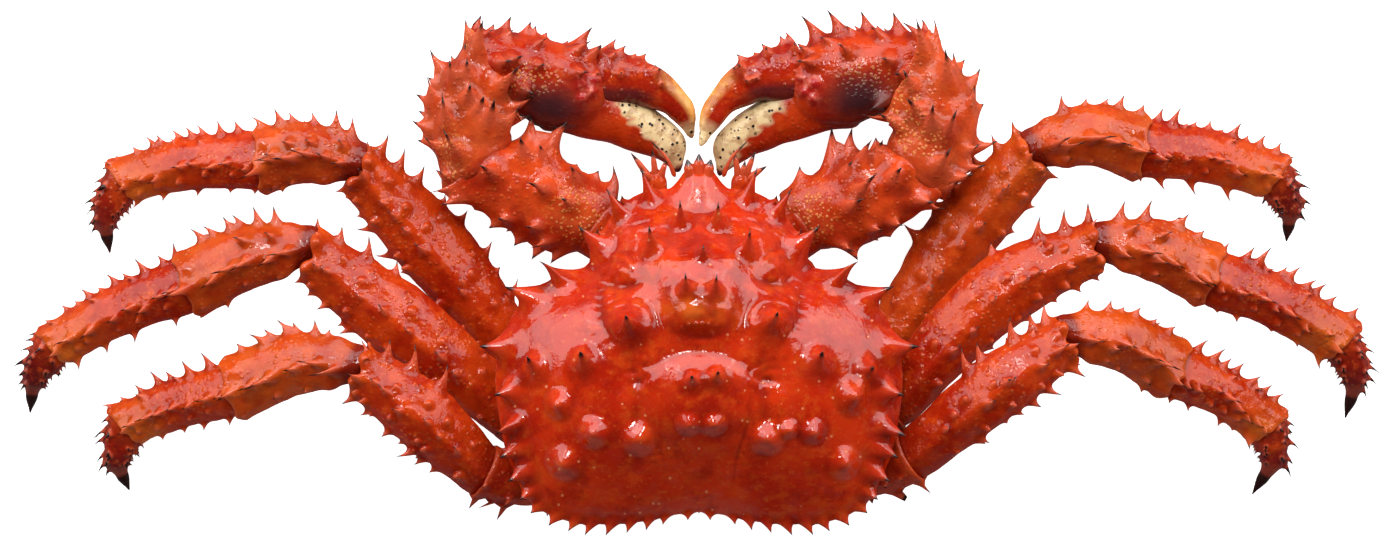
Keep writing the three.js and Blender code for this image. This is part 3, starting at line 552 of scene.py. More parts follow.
# A square grid is drawn out to the outline, its corners rounded off, and domed.
bpy.ops.object.select_all(action="DESELECT")
bpy.ops.mesh.primitive_grid_add(x_subdivisions=264, y_subdivisions=264, size=2)
carapace = bpy.context.object
carapace.name = "carapace_shell"
square = read_vertices(carapace)
wide = np.abs(square[:, 0]) > np.abs(square[:, 1])
long_side = np.where(wide, square[:, 0], square[:, 1])
short_side = np.where(wide, square[:, 1], square[:, 0])
turn = np.pi / 4 * short_side / np.where(np.abs(long_side) < 1e-9, 1.0, long_side)
turn = np.where(wide, turn, np.pi / 2 - turn) + np.where(long_side < 0, np.pi, 0.0)
turn = (turn + np.pi) % (2 * np.pi) - np.pi
spread = np.abs(long_side) * (1.06 - 0.06 * np.abs(long_side))
back = np.zeros_like(square)
back[:, 0] = spread * outline_reach(turn) * np.cos(turn)
back[:, 1] = spread * outline_reach(turn) * np.sin(turn)
back[:, 2] = back_height(back[:, 0], back[:, 1], np.clip(spread, 0, 1))
write_places(carapace, back)

# The border is drawn down and in, ring by ring, and closed in the middle of the underside.
BORDER = [  # how far each ring goes down in mm, and its size for the one before
    (0.5, 1.0), (0.55, 0.998), (0.55, 0.996), (0.55, 0.993), (0.5, 0.99), (0.45, 0.985),
    (0.4, 0.98), (0.4, 0.975), (0.5, 0.965), (0.6, 0.95), (0.8, 0.92), (0.9, 0.88), (0.5, 0.85),
    (0.0, 0.7), (0.0, 0.5), (0.0, 0.3),
]
bpy.ops.object.mode_set(mode="EDIT")
bpy.ops.mesh.select_mode(type="EDGE")
bpy.ops.mesh.select_all(action="DESELECT")
bpy.ops.mesh.select_non_manifold()
for drop, size in BORDER:
    bpy.ops.mesh.extrude_region_move(TRANSFORM_OT_translate={"value": (0.0, 0.0, -drop * MM)})
    bpy.ops.transform.resize(value=(size, size, 1.0), center_override=(0.0, 0.0, 0.0))
bpy.ops.mesh.merge(type="CENTER")
bpy.ops.object.mode_set(mode="OBJECT")

skin = read_vertices(carapace) / MM
on_back = np.arange(len(skin)) < len(back)
x, y = skin[:, 0], skin[:, 1]
reach_share = np.clip(np.hypot(x, y) / outline_reach(np.arctan2(y, x)), 0, 1)
inner = on_back * (1 - reach_share**8)
grooves = np.max([groove_depth(x, y, *groove) for groove in GROOVES], axis=0)
skin[:, 2] -= grooves * inner
skin[:, 2] += rims(x, y) * inner
skin[:, 2] += 0.2 * unevenness(skin, 15, 5) * inner
for middle_x, middle_y, radius, rise in WRINKLES:
    near = np.exp(-((x - middle_x) ** 2 + (y - middle_y) ** 2) / radius**2)
    skin[:, 2] += rise * unevenness(skin, 3.4, 6) * near * inner

thorns = []
for tip_x, tip_y, inset, foot_spread in both_sides(*MARGIN_THORNS):
    angle = math.atan2(tip_y, tip_x)
    way = np.array([math.cos(angle), math.sin(angle)])
    margin_x, margin_y = way * (float(outline_reach(np.array([angle]))[0]) - inset)
    if inset > FAR_INSIDE:
        foot, _ = on_the_back(margin_x, margin_y)
        rise, slant = 3.5, 0.45
    else:
        foot = np.array([margin_x, margin_y, MARGIN_Z - 0.8])
        rise, slant = 1.5, 0.1
    outward = np.array([*way, slant])
    tip = np.array([tip_x, tip_y, foot[2] + rise])
    thorns.append((foot, outward / np.linalg.norm(outward), tip, foot_spread, False))
for rows, blunt in ((BACK_THORNS, False), (BACK_KNOBS, True)):
    for thorn_x, thorn_y, height, lean, foot_spread in rows:
        foot, slope = on_the_back(thorn_x, thorn_y)
        outward = slope + np.array([0.0, 0.0, 1.5])
        outward /= np.linalg.norm(outward)
        tip = foot + height * (outward + np.array([0.0, lean, 0.0]))
        thorns.append((foot, outward, tip, foot_spread, blunt))

# The beak is drawn out of the front of the shield before the thorns grow.
beak_way = (BEAK_TIP - BEAK_FOOT) / np.linalg.norm(BEAK_TIP - BEAK_FOOT)
away = np.sqrt((((skin - BEAK_FOOT) / BEAK_RADII) ** 2).sum(axis=1))
beak = eased(np.clip(1.55 * (1 - away), 0, 1))
skin += np.outer(beak * BEAK_REACH, beak_way)
skin[:, 0] *= 1 - BEAK_PINCH * beak
skin, horn = grow_thorns(skin, thorns)
x, y = skin[:, 0], skin[:, 1]
blotches = np.clip(unevenness(skin, 9, 31), 0, 1) * np.exp(-((x / 26) ** 2) - ((y - 24) / 20) ** 2)
down_the_middle = np.exp(-((x / 11) ** 4) - ((y + 42) / 14) ** 4) * on_back
# dark paints shade into the grooves, and a painted shade darkens the shield towards its rear, where
# it slopes away from the front lights; the blotches and the darker band down the middle of the rear
# are the shell's own colour
stains_and_painted_shade = [
    0.7 * np.clip(grooves / 1.5, 0, 1) * inner, 0.12 * ramp(y, 4, -36), 0.55 * blotches,
    0.12 * down_the_middle,
]
hand_over(
    carapace, skin, "carapace", "shell_red", back_shell, horn=horn, dark=np.max(stains_and_painted_shade, axis=0),
    pale=0.5 * np.exp(-(((y - 15) / 5) ** 2) - (x / 13) ** 2),
)

# ---------------------------------------------------------------------------
# Rostrum: the short beak between the eyes is drawn out of the shield, and these are the
# three small teeth of the same shell on its end.
# ---------------------------------------------------------------------------


def add_limb_sphere(name, sides, rings):
    """A sphere to be drawn out along a limb, with the turn of each vertex from end to end."""
    bpy.ops.object.select_all(action="DESELECT")
    bpy.ops.mesh.primitive_uv_sphere_add(segments=sides, ring_count=rings, radius=1)
    piece = bpy.context.object
    piece.name = name
    unit = read_vertices(piece)
    turn = np.arccos(np.clip(unit[:, 2], -1, 1)) / np.pi
    return piece, turn, np.arctan2(unit[:, 1], unit[:, 0])


def make_limb(line, widths, flatness, boxy=1.0, crests=(), edge=0.0):
    """A limb along a line; edge is the angle of its first edge, where over() starts."""
    places, _ = line_places(line, np.linspace(0, 1, 201))
    return {
        "line": np.asarray(line, float), "widths": np.asarray(widths, float),
        "flatness": flatness, "boxy": boxy, "crests": crests, "edge": edge,
        "length": np.linalg.norm(np.diff(places, axis=0), axis=1).sum(),
        "start_plane": None, "end_plane": None, "reach": 12.0,
    }


def over(limb, share):
    """Angle from the first edge of a limb (0) over its top to the other edge (1)."""
    return limb["edge"] + (math.pi - 2 * limb["edge"]) * share


def beside(limb, angle, share, breadth):
    """1 at a share of the way over a limb, falling away over a breadth of angle."""
    return hump((angle - over(limb, share) + np.pi) % (2 * np.pi) - np.pi, breadth)


def softened(value, power):
    return np.sign(value) * np.abs(value) ** power


def limb_section(limb, along):
    """Middle, directions and half width of a limb at distances along it, in mm."""
    share = np.clip(along / limb["length"], 0, 1)
    middle, forward = line_places(limb["line"], share)
    middle = middle + forward * (along - share * limb["length"])[:, None]
    right = np.cross(forward, (0.0, 0.0, 1.0))
    right /= np.linalg.norm(right, axis=1, keepdims=True)
    widths = limb["widths"]
    inside = share * (len(widths) - 1)
    low = np.minimum(inside.astype(int), len(widths) - 2)
    width = widths[low] + (widths[low + 1] - widths[low]) * eased(inside - low)
    return middle, forward, right, np.cross(right, forward), width / 2


def limb_skin(limb, along, angle, swell=1.0):
    """Skin of a limb at distances along it and angles round it, and which way is out."""
    middle, forward, right, up, half = limb_section(limb, along)
    crest = np.zeros_like(angle)
    for share, rise, breadth in limb["crests"]:
        crest += rise * beside(limb, angle, share, breadth)
    half = half * swell * (1 + crest * swell**2)
    wide = half * softened(np.cos(angle), limb["boxy"])
    tall = half * softened(np.sin(angle), limb["boxy"]) * limb["flatness"]
    across = right * wide[:, None] + up * tall[:, None]
    place = middle + across
    for plane, distance in (
        (limb["start_plane"], along), (limb["end_plane"], limb["length"] - along)
    ):
        if plane is not None:
            near = eased(np.clip(1 - distance / limb["reach"], 0, 1))
            slide = -(across @ plane) / np.maximum(forward @ plane, 0.55)
            place += forward * (np.clip(slide, -13, 13) * near)[:, None]
    outward = right * (limb["flatness"] * np.cos(angle))[:, None] + up * np.sin(angle)[:, None]
    return place, outward / np.linalg.norm(outward, axis=1, keepdims=True)


def end_to_end(limb, turn, start, end):
    """Distance along a limb and share of its width for each turn of a sphere, pole to pole.

    start and end say how the limb closes, as distances from its joints in mm and shares.
    """
    marks = np.array([*start, *((limb["length"] + off, size) for off, size in end)], float)
    half = np.mean(limb["widths"]) / 2
    steps = np.hypot(np.diff(marks[:, 0]), np.diff(marks[:, 1]) * half)
    walked = np.concatenate([[0], np.cumsum(steps)])
    fine = np.linspace(0, walked[-1], 600)
    blur = np.hanning(15)
    evened = [np.interp(fine, walked, values) for values in marks.T]
    for values in evened:
        values[7:-7] = np.convolve(values, blur / blur.sum(), "same")[7:-7]
    evened[1][[0, -1]] = 0
    along, size = (np.interp(turn * walked[-1], fine, values) for values in evened)
    return along, size


ROUND_START = [(0.0, 0.0), (0.1, 0.45), (1.2, 0.8), (3.5, 0.97), (6.0, 1.0)]
POINTED_END = [(-8.0, 1.0), (-2.5, 0.8), (-0.7, 0.45), (0.0, 0.0)]


def add_spike(name, line, widths, sides=10, rings=18):
    """A slender tapered spike along a line, closed at both ends."""
    limb = make_limb(line, widths, 1.0)
    piece, turn, angle = add_limb_sphere(name, sides, rings)
    size = np.sqrt(np.clip(np.minimum(turn, 1 - turn) * 12, 0, 1))
    place, _ = limb_skin(limb, turn * limb["length"], angle, size)
    take_shape(piece, place)
    write_mask(piece, "horn", np.clip(turn, 0, 1) ** 0.9)
    return piece


def joined(pieces):
    """Join pieces into the first of them."""
    bpy.ops.object.select_all(action="DESELECT")
    for piece in pieces:
        piece.select_set(True)
    bpy.context.view_layer.objects.active = pieces[0]
    bpy.ops.object.join()
    return bpy.context.object


teeth = []
for side in (-1, 0, 1):
    root = np.array([side * 2.7, 62.5 - abs(side), 42.4])
    reach = np.array([side * 1.6, 8.0 - abs(side), 2.2])
    teeth.append(add_spike("rostrum", [root, root + reach / 2, root + reach], [5.0, 4.0, 0.9]))
hand_over(joined(teeth), None, None, "shell_red", back_shell)

# ---------------------------------------------------------------------------
# Thorax and abdomen: the body under the shield, pale plates between the legs, and the
# broad tail flap folded forward beneath it, on which the crab lies.
# ---------------------------------------------------------------------------

THORAX_HALF = np.array([49.0, 45.0, 12.5])
THORAX_MIDDLE = np.array([0.0, -4.0, 21.5])
THORAX_SEAMS = (-34, -20, -6, 8, 22, 33)  # how far forward each seam runs across
ABDOMEN_SEAMS = (14, 27, 40, 54, 68, 82, 95)  # how far along the flap each plate ends
ABDOMEN_THORNS = ((27, 8), (20, 7), (12, 6))  # height and number of each row

belly_shell = make_shell_material(
    "belly_shell", (0.6, 0.09, 0.02), (0.46, 0.04, 0.007), (0.74, 0.38, 0.19), 0.0, 0.4, 0.6
)

thorax, turn, angle = add_limb_sphere("thorax_plates", 128, 64)
polar = turn * np.pi
ball = [np.sin(polar) * np.cos(angle), np.sin(polar) * np.sin(angle), np.cos(polar)]
body = THORAX_MIDDLE + softened(np.column_stack(ball), 0.62) * THORAX_HALF
seams = np.max([hump(body[:, 1] - seam, 1.3) for seam in THORAX_SEAMS], axis=0)
body[:, 2] += 0.8 * seams * ramp(body[:, 2], THORAX_MIDDLE[2] + 6, THORAX_MIDDLE[2] - 2)
body[:, 0] *= 1 - 0.03 * seams
body += 0.5 * unevenness(body, 12, 400)[:, None] * (body - THORAX_MIDDLE) / THORAX_HALF
hand_over(
    thorax, body, "thorax", "underside_pale", belly_shell, dark=0.5 * seams,
    pale=ramp(body[:, 2], 19, 12),
)


def draw_out(name, limb, sides, rings, start, end, lobes=()):
    """A sphere drawn out along a limb: the piece, its skin, and where on the limb that lies.

    lobes are where its far end reaches out beside the joint: share over, reach and breadth.
    """
    piece, turn, angle = add_limb_sphere(name, sides, rings)
    along, size = end_to_end(limb, turn, start, end)
    near_end = np.clip(1.3 - (limb["length"] - along) / 11, 0, 1) ** 2
    lobed = along.copy()
    for share, reach, breadth in lobes:
        full = np.clip(size / 0.8, 0, 1)
        lobed += reach * beside(limb, angle, share, breadth) * near_end * full
    skin, outward = limb_skin(limb, lobed, angle, size)
    return piece, skin, outward, along, angle, size


flap = make_limb(
    [(0, -44, 28), (0, -52.5, 17), (0, -44, 5.2), (0, -22, 3.6), (0, 6, 3.4), (0, 31, 3)],
    [54, 66, 70, 66, 58, 34], 0.13,
)
abdomen, place, outward, along, angle, size = draw_out(
    "abdomen_flap", flap, 120, 110, [(-8, 0), (-6, 0.6), (0, 0.97), (6, 1.0)],
    [(-8, 1.0), (0, 0.9), (8, 0.6), (12, 0)],
)
plates = np.max([hump(along - seam, 1.2) for seam in ABDOMEN_SEAMS], axis=0)
place -= outward * (0.5 * plates * size)[:, None]
place += outward * (0.3 * unevenness(place, 9, 401) * size)[:, None]
thorns = []
behind = np.array([0.0, -0.95, 0.3])
for thorn_z, count in ABDOMEN_THORNS:
    for thorn_x in np.linspace(-25, 25, count):
        off = np.abs(place[:, 0] - thorn_x) + np.abs(place[:, 2] - thorn_z)
        foot = place[np.argmin(off + 0.4 * (place[:, 1] + 60))]
        thorns.append((foot, behind, foot + 3.2 * behind, 3.6, False))
place, horn = grow_thorns(place, thorns)
place[:, 2] = np.maximum(place[:, 2], 0.0)
hand_over(
    abdomen, place, "abdomen", "underside_pale", belly_shell, horn=horn, dark=0.45 * plates,
    pale=0.9 * ramp(place[:, 2], 11, 5),
)

# ---------------------------------------------------------------------------
# Mouthparts, eyes and antennae: what stands out under the front of the shield, a pair of
# flat jaw legs, the stalked eyes, and the antennae with their thorny scales.
# ---------------------------------------------------------------------------

ROUND_END = [(-3, 1.0), (-0.8, 0.8), (0, 0)]
ANTENNA_TIPS = {  # tips of the thorns of each antenna's scale, as seen from above
    "l": [(-24.5, 70.9), (-16.8, 72.2), (-11.4, 68.8), (-21.2, 64.5)],
    "r": [(20.2, 71.4), (12.4, 72.0), (24.3, 66.0), (16.5, 68.0)],
}

eye_shell = bpy.data.materials.new("eye_black")
eye_shell.use_nodes = True
eye_tree = eye_shell.node_tree
eye_shader = eye_tree.nodes["Principled BSDF"]
facets = {"Vector": add_node(eye_tree, "ShaderNodeTexCoord").outputs["Object"], "Scale": 2600.0}
facet = add_node(eye_tree, "ShaderNodeTexVoronoi", facets).outputs["Distance"]
eye_tint = mixed(eye_tree, facet, (0.03, 0.02, 0.02), (0.006, 0.005, 0.006))
eye_tree.links.new(eye_tint, eye_shader.inputs["Base Color"])
eye_shader.inputs["Roughness"].default_value = 0.12

limb_shell = make_shell_material(
    "leg_shell", (0.51, 0.038, 0.0035), (0.36, 0.014, 0.002), (0.62, 0.13, 0.015), 0.0, 0.45
)

for side, mark in ((-1, "l"), (1, "r")):
    jaw = make_limb(
        [(side * 9, 36, 5.2), (side * 9.5, 46, 4), (side * 7, 58, 5)], [10, 11, 6], 0.8, 0.9
    )
    maxilliped, place, outward, along, _, _ = draw_out(
        "jaw_leg_" + mark, jaw, 32, 40, ROUND_START, [(-3, 1.0), (0, 0.85), (1.6, 0.5), (2, 0)]
    )
    place -= outward * (0.7 * hump(along - 11, 1.1))[:, None]
    place[:, 2] = np.maximum(place[:, 2], 0.0)
    hand_over(maxilliped, place, "maxilliped_" + mark, "underside_pale", belly_shell, pale=0.7)

    stalk = make_limb(
        [(side * 7.5, 46, 34.0), (side * 9.0, 51.5, 35.6), (side * 9.8, 57.0, 36.4)],
        [4.8, 4.8, 5.6], 1.0,
    )
    eye, place, *_ = draw_out("eye_" + mark + "_globe", stalk, 24, 30, ROUND_START, ROUND_END)
    hand_over(eye, place, "eye_" + mark, "eye_black", eye_shell)

    root, elbow = np.array([side * 15.5, 50, 36.0]), np.array([side * 15, 60, 39.0])
    stem = make_limb([root, elbow, elbow + (side * 1.0, 5, 1)], [8, 7, 4], 0.8)
    scale, place, *_ = draw_out("antenna_" + mark + "_scale", stem, 28, 30, ROUND_START, ROUND_END)
    take_shape(scale, place)
    spikes = [scale]
    for tip_x, tip_y in ANTENNA_TIPS[mark]:
        foot = elbow + (0.25 * (tip_x - elbow[0]), 1.0, 0.0)
        end = np.array([tip_x, tip_y, 42.5])
        line = [foot, (foot + end) / 2 + (0, 0.3, 1), end]
        spikes.append(add_spike("antenna_thorn", line, [3.4, 2.2, 0.5]))
    root = np.array([side * 8.5, 62, 40.0])
    whip = [root, root + (side * 3.2, 7, 3.0), root + (side * 9, 13.2, 3.4)]
    spikes.append(add_spike("antenna_whip", whip, [1.8, 1.2, 0.4], 8, 24))
    hand_over(joined(spikes), None, "antenna_" + mark, "shell_red", limb_shell)

# ---------------------------------------------------------------------------
# Walking legs: each is a chain of hard tubes, a short base, the long merus, the knee or
# carpus, the propodus and a hooked dark dactyl. Each tube sits with a neck in the cup at
# the end of the one before, and has a crest of thorns along its front.
# ---------------------------------------------------------------------------

LEG_LINES = {  # hip, base, root | merus, knee | carpus, wrist | propodus, ankle | dactyl, tip
    "leg1_l": [(-36, -2, 16), (-53, -5, 13), (-66, -1, 12), (-97, 38, 15.5), (-125.5, 68, 24),
               (-142, 71, 25), (-158, 68.5, 23), (-182, 67.5, 18), (-209, 61.4, 11),
               (-215.3, 48, 7), (-214.4, 34.9, 1.3)],
    "leg2_l": [(-36, -22, 18), (-52, -23, 18), (-64, -26, 21), (-107, 9.5, 27.5), (-143, 37, 29),
               (-162, 33.5, 29), (-184, 23.5, 25), (-208, 15, 18), (-234, 1.5, 11),
               (-241, -10, 7), (-243.5, -23.3, 1.3)],
    "leg3_l": [(-36, -36, 20), (-59, -47, 25), (-78, -43.5, 30), (-101, -22, 41), (-124.5, -5, 40),
               (-145, -5, 34), (-167.5, -14, 28), (-188, -19.5, 19), (-207.5, -27, 11),
               (-211, -40, 7), (-207.3, -51.4, 1.3)],
    "leg1_r": [(36, -4, 16), (52, -8, 12.5), (64, -7, 11.5), (95.5, 42, 14), (123, 73, 23),
               (141, 77.5, 25), (159.5, 73, 23), (183, 70, 18), (208.5, 63, 11),
               (214.3, 51.5, 7), (213.8, 39.1, 1.3)],
    "leg2_r": [(36, -20, 18), (54, -22, 23), (70, -19, 26.5), (109, 21, 32), (146, 38.5, 33),
               (165, 35.5, 30), (184, 26.5, 25), (208.5, 17.3, 18), (233, 3, 11),
               (238.0, -10, 7), (235.2, -25.2, 1.3)],
    "leg3_r": [(36, -37, 19), (60, -44, 25), (77, -38, 32.5), (108.5, -12, 45.5), (134, 5.5, 40),
               (152, 3, 35), (171, -7.2, 27), (190.5, -16.2, 19), (206, -27.4, 11),
               (208.5, -39, 7), (201.3, -53, 1.3)],
}
LEG_WIDTHS = {  # merus, carpus and propodus, at their start, middle and end
    "leg1_l": [(19.2, 25.92, 18.24), (16.66, 21.32, 22.96), (20.5, 18.13, 15.75)],
    "leg2_l": [(19.2, 25.92, 19.2), (15.68, 22.36, 22.96), (20, 17.64, 15.75)],
    "leg3_l": [(19.2, 23.04, 17.28), (15.68, 21.84, 22.4), (19, 17.15, 15.75)],
    "leg1_r": [(19.2, 24.96, 19.2), (16.66, 21.32, 22.96), (20.5, 18.62, 16.275)],
    "leg2_r": [(19.2, 24.96, 18.24), (15.68, 21.84, 22.4), (20, 18.62, 17.325)],
    "leg3_r": [(18.24, 22.08, 17.28), (15.68, 20.8, 21.28), (18.5, 16.66, 16.275)],
}
LEG_CRESTS = ((0.02, 0.05, 0.3), (0.55, 0.13, 0.28), (1, 0.04, 0.3))  # share over, rise, breadth
# Tips of the thorns that stand out along the edges of the legs, as they are seen from above.
LEG_TIPS = {
    "leg1_l_merus": [
        (-112.2, 77.6), (-106.5, 72.2), (-99.4, 66.1), (-91.9, 56.1), (-84, 50), (-75.3, 38.7),
        (-72.1, 29.7), (-70.3, 22.8), (-127.5, 54.9), (-120, 46.3), (-113.6, 37.3), (-94.9, 18.1)],
    "leg1_l_carpus": [
        (-161.4, 83.8), (-153, 86.6), (-147.9, 85.5), (-139.6, 85.5), (-130.6, 85.9),
        (-125.2, 83.7), (-155.9, 70.4), (-149.4, 73.2), (-141.8, 73.6), (-131, 73.6), (-150.1, 57)],
    "leg1_l_propodus": [
        (-211.4, 70), (-205.1, 73.2), (-199.6, 72.8), (-196.2, 77.5), (-190.7, 76), (-185.5, 80.3),
        (-181.2, 77.7), (-173.8, 82.4), (-167.6, 82.4), (-205, 51.2), (-194.1, 54), (-181.6, 55.7),
        (-169.4, 56.7), (-160.3, 56.3)],
    "leg2_l_merus": [
        (-137.5, 47.7), (-128.6, 44.3), (-118.9, 40.3), (-108.8, 31.7), (-137.2, 14.8),
        (-129.3, 6.1)],
    "leg2_l_carpus": [
        (-182.8, 43.3), (-178.4, 44.3), (-171.1, 47.5), (-167.8, 48.3), (-160.3, 51.1),
        (-153.1, 51.1), (-166.4, 38.5), (-156.3, 40), (-180, 11.5), (-169.8, 15.1)],
    "leg2_l_propodus": [
        (-237.1, 10.5), (-230.8, 15.9), (-226, 17.4), (-223.3, 21.7), (-217.8, 22.4),
        (-214.1, 27.1), (-208.6, 27.5), (-203.4, 32.5), (-195.3, 33.9), (-189.3, 38.2),
        (-224.7, -6.9), (-214.3, -1.1), (-204, 2.9), (-188.5, 8.7)],
    "leg3_l_merus": [
        (-110.8, 3.6), (-101.8, 1.8), (-90.3, -5.4), (-127.7, -19), (-118, -23.7), (-113.6, -30.8),
        (-105.1, -33), (-102, -40.9), (-96.7, -43.8)],
    "leg3_l_carpus": [
        (-166.3, 2.2), (-159.4, 1.1), (-156.1, 7.2), (-151, 5.4), (-145.9, 9.7), (-137.9, 10.4),
        (-132.5, 7.2)],
    "leg3_l_propodus": [
        (-209.9, -17.2), (-203.9, -13), (-198.6, -8), (-192.7, -8), (-186.4, -4.3), (-179.3, -1.4),
        (-170.4, -2.5), (-202.5, -34.8), (-194, -32.6), (-185.8, -30), (-178.7, -28.9),
        (-169.1, -27)],
    "leg1_r_merus": [
        (64.5, 22.1), (74.6, 44.9), (82.9, 55.4), (91.2, 62.2), (98.7, 71.6), (105.8, 77.3),
        (113, 82.3)],
    "leg1_r_carpus": [(130.6, 91.6), (139.6, 90.5), (147.5, 90.5), (153.3, 91.6), (160.6, 88.4)],
    "leg1_r_propodus": [
        (167.6, 87), (173.8, 87.1), (180, 82.4), (184.8, 82.5), (189.6, 79.6), (196.2, 81.8),
        (198.8, 77.5), (205.1, 77.5), (210.6, 74.7), (159.6, 60.6), (168.7, 61.1), (180.4, 60),
        (193.4, 57.6), (204.3, 55.1)],
    "leg2_r_merus": [(105, 38.5), (122.6, 47.5), (131.3, 50), (139.9, 52.5)],
    "leg2_r_carpus": [
        (152.9, 52.9), (162.7, 53.3), (172.5, 47.5), (176.1, 48.6), (182, 42.9), (157.6, 42.8),
        (168.5, 40.7)],
    "leg2_r_propodus": [
        (191.2, 38.6), (200.4, 36.8), (206.3, 36.5), (212.6, 29.7), (217.4, 29.7), (223.3, 25),
        (227, 23.5), (231.1, 19.2), (238.9, 14.9), (187, 13.4), (194.3, 10.1), (206.9, 6.5),
        (216.6, 1.1), (226.9, -3.6)],
    "leg3_r_merus": [
        (94.1, 0.7), (99.5, 2.5), (111.4, 11.8), (118.6, 13.6), (127.3, 12.6), (104, -33),
        (110.3, -26.1), (122.4, -20.1), (127.2, -11.8), (138.2, -9.3)],
    "leg3_r_carpus": [
        (139.6, 17.6), (147.9, 17.6), (152.7, 15.4), (158.5, 15.1), (164.4, 11.1), (171.4, 8.3),
        (159.2, -15.1)],
    "leg3_r_propodus": [
        (174, 5), (183.3, 3.2), (189.6, 0), (192.2, -3.3), (196.7, -5.1), (203, -9.8),
        (207.1, -13), (211.7, -16.3), (169.5, -19.1), (176.5, -22), (187.7, -27.5), (193, -29.3),
        (201, -32.3)],
}

# How a limb closes at a joint, as distance from it in mm and share of the width.
HIP = [(0, 0), (0.2, 0.7), (2, 0.95), (5, 1.0)]
KNEE_NECK = [(-6, 0), (-5.9, 0.5), (-4.5, 0.74), (-2, 0.86), (1, 0.93), (4, 0.98), (8, 1.0)]
KNEE_CUP = [(-12, 1.0), (-7, 1.0), (-4.2, 0.99), (-2.6, 0.93), (-2.2, 0.84), (-3.2, 0.7),
            (-5.5, 0.55), (-5.7, 0)]
SNUG_NECK = [(-3, 0), (-3, 0.6), (-2, 0.84), (-0.3, 0.92), (1.5, 0.96), (4, 1.0)]
CUP = [(-9, 1.0), (-4, 1.02), (-1.2, 1.06), (-0.2, 1.05), (0.1, 0.98), (-0.8, 0.9),
       (-2.4, 0.75), (-3.2, 0.4), (-3.4, 0)]
HOOK_END = [(-3, 1.0), (-1, 0.85), (-0.3, 0.5), (0, 0)]

# How each article is built. rows are rows of thorns: shares of the length where they start
# and end, number, share over the limb, height, spread of the foot, forward lean, blunt.
# edge_thorns are the height on top and the spread of the thorns whose tips are listed above.
# knobs are distance along (from the far end if negative), share over, height and radius.
LEG_PLANS = {
    "coxa": dict(
        node="base", grid=(64, 44), ends=(HIP, CUP), seed=20, ripple=0.25,
        rows=[(0.5, 0.92, 4, 1, 4.5, 2.8), (0.55, 0.9, 3, 0.7, 3.5, 2.6),
              (0.6, 0.9, 2, 0.1, 3, 2.6)]),
    "merus_tube": dict(
        node="merus", grid=(112, 150), ends=(SNUG_NECK, KNEE_CUP), seed=40, ripple=0.38,
        edge_thorns=(6.0, 3.1),
        rows=[(0.2, 0.9, 5, 0.2, 1.8, 2.2, 1.3), (0.25, 0.92, 7, 0.55, 3.0, 3.2, 1.3),
              (0.2, 0.85, 5, 0.36, 1.6, 2.8, 1.0, True), (0.15, 0.9, 6, 0.8, 2.0, 2.8, 0.9, True),
              (0.3, 0.95, 5, 1.04, 2.4, 2.8), (0.25, 0.9, 5, 1.3, 2.2, 3.4),
              (0.25, 0.9, 6, -0.2, 3.6, 4.0)],
        knobs=[(-4.6, 0.34, 2.6, 3.2), (-3.4, 0.7, 2.6, 3.2)],
        lobes=[(0.1, -1.5, 0.4), (0.74, 0.6, 0.35), (0.52, -3.5, 0.3)]),
    "carpus_tube": dict(
        node="carpus", grid=(96, 92), ends=(KNEE_NECK, CUP), seed=60, ripple=0.35,
        edge_thorns=(5.2, 2.9),
        rows=[(0.12, 0.92, 6, 0.56, 5.2, 3.8, 1.4), (0.3, 0.9, 3, 0.82, 1.8, 2.6, 1.2),
              (0.2, 0.9, 4, -0.2, 2.6, 2.8)],
        knobs=[(-2.5, 0.3, 1.0, 3.6), (-2.5, 0.8, 0.8, 3.6), (6.5, 0.9, 1.4, 4.0),
               (6.0, 0.1, 1.4, 4.0)],
        lobes=[(0.15, 1.8, 0.25), (0.5, 1.5, 0.22), (0.85, 1.6, 0.25)]),
    "propodus_tube": dict(
        node="propodus", grid=(86, 118), ends=(SNUG_NECK, CUP), seed=80, ripple=0.32,
        edge_thorns=(4.6, 2.7),
        rows=[(0.4, 0.96, 3, 0.14, 2.0, 2.2, 1.4), (0.06, 0.95, 8, 0.56, 3.3, 2.9, 1.3),
              (0.15, 0.9, 5, 0.72, 1.4, 2.2, 1.0, True), (0.1, 0.95, 6, -0.2, 2.2, 2.4)],
        knobs=[(-2.0, 0.3, 0.9, 3.0), (-2.0, 0.8, 0.9, 3.0)],
        lobes=[(0.2, 1.4, 0.3), (0.8, 1.4, 0.3)]),
    "dactyl_hook": dict(
        node="dactyl", grid=(60, 84), ends=(SNUG_NECK, HOOK_END), seed=120, ripple=0.12,
        rows=[(0.08, 0.6, 7, 0.0, 3.2, 2.2, 1.3), (0.1, 0.5, 5, 0.3, 2.2, 2.0, 1.2),
              (0.12, 0.6, 9, 1.0, 1.6, 1.3, 0.7), (0.15, 0.5, 5, 0.7, 1.5, 1.7, 1.1)]),
}


def fit_joints(limbs):
    """Slant the ends of limbs that meet, so that both lie along the plane of the joint."""
    for before, after in zip(limbs, limbs[1:]):
        _, leaving = line_places(before["line"], np.array([1.0]))
        _, arriving = line_places(after["line"], np.array([0.0]))
        plane = leaving[0] + arriving[0]
        before["end_plane"] = after["start_plane"] = plane / np.linalg.norm(plane)


def over_the_limb(limb):
    """Many places on the upper half of a limb, to find where a thorn stands."""
    along, angle = np.meshgrid(
        np.linspace(0.0, 1.0, 70) * limb["length"], np.linspace(-0.25, np.pi + 0.25, 31)
    )
    skin, outward = limb_skin(limb, along.ravel(), angle.ravel())
    return skin, outward, limb_section(limb, along.ravel())[1]


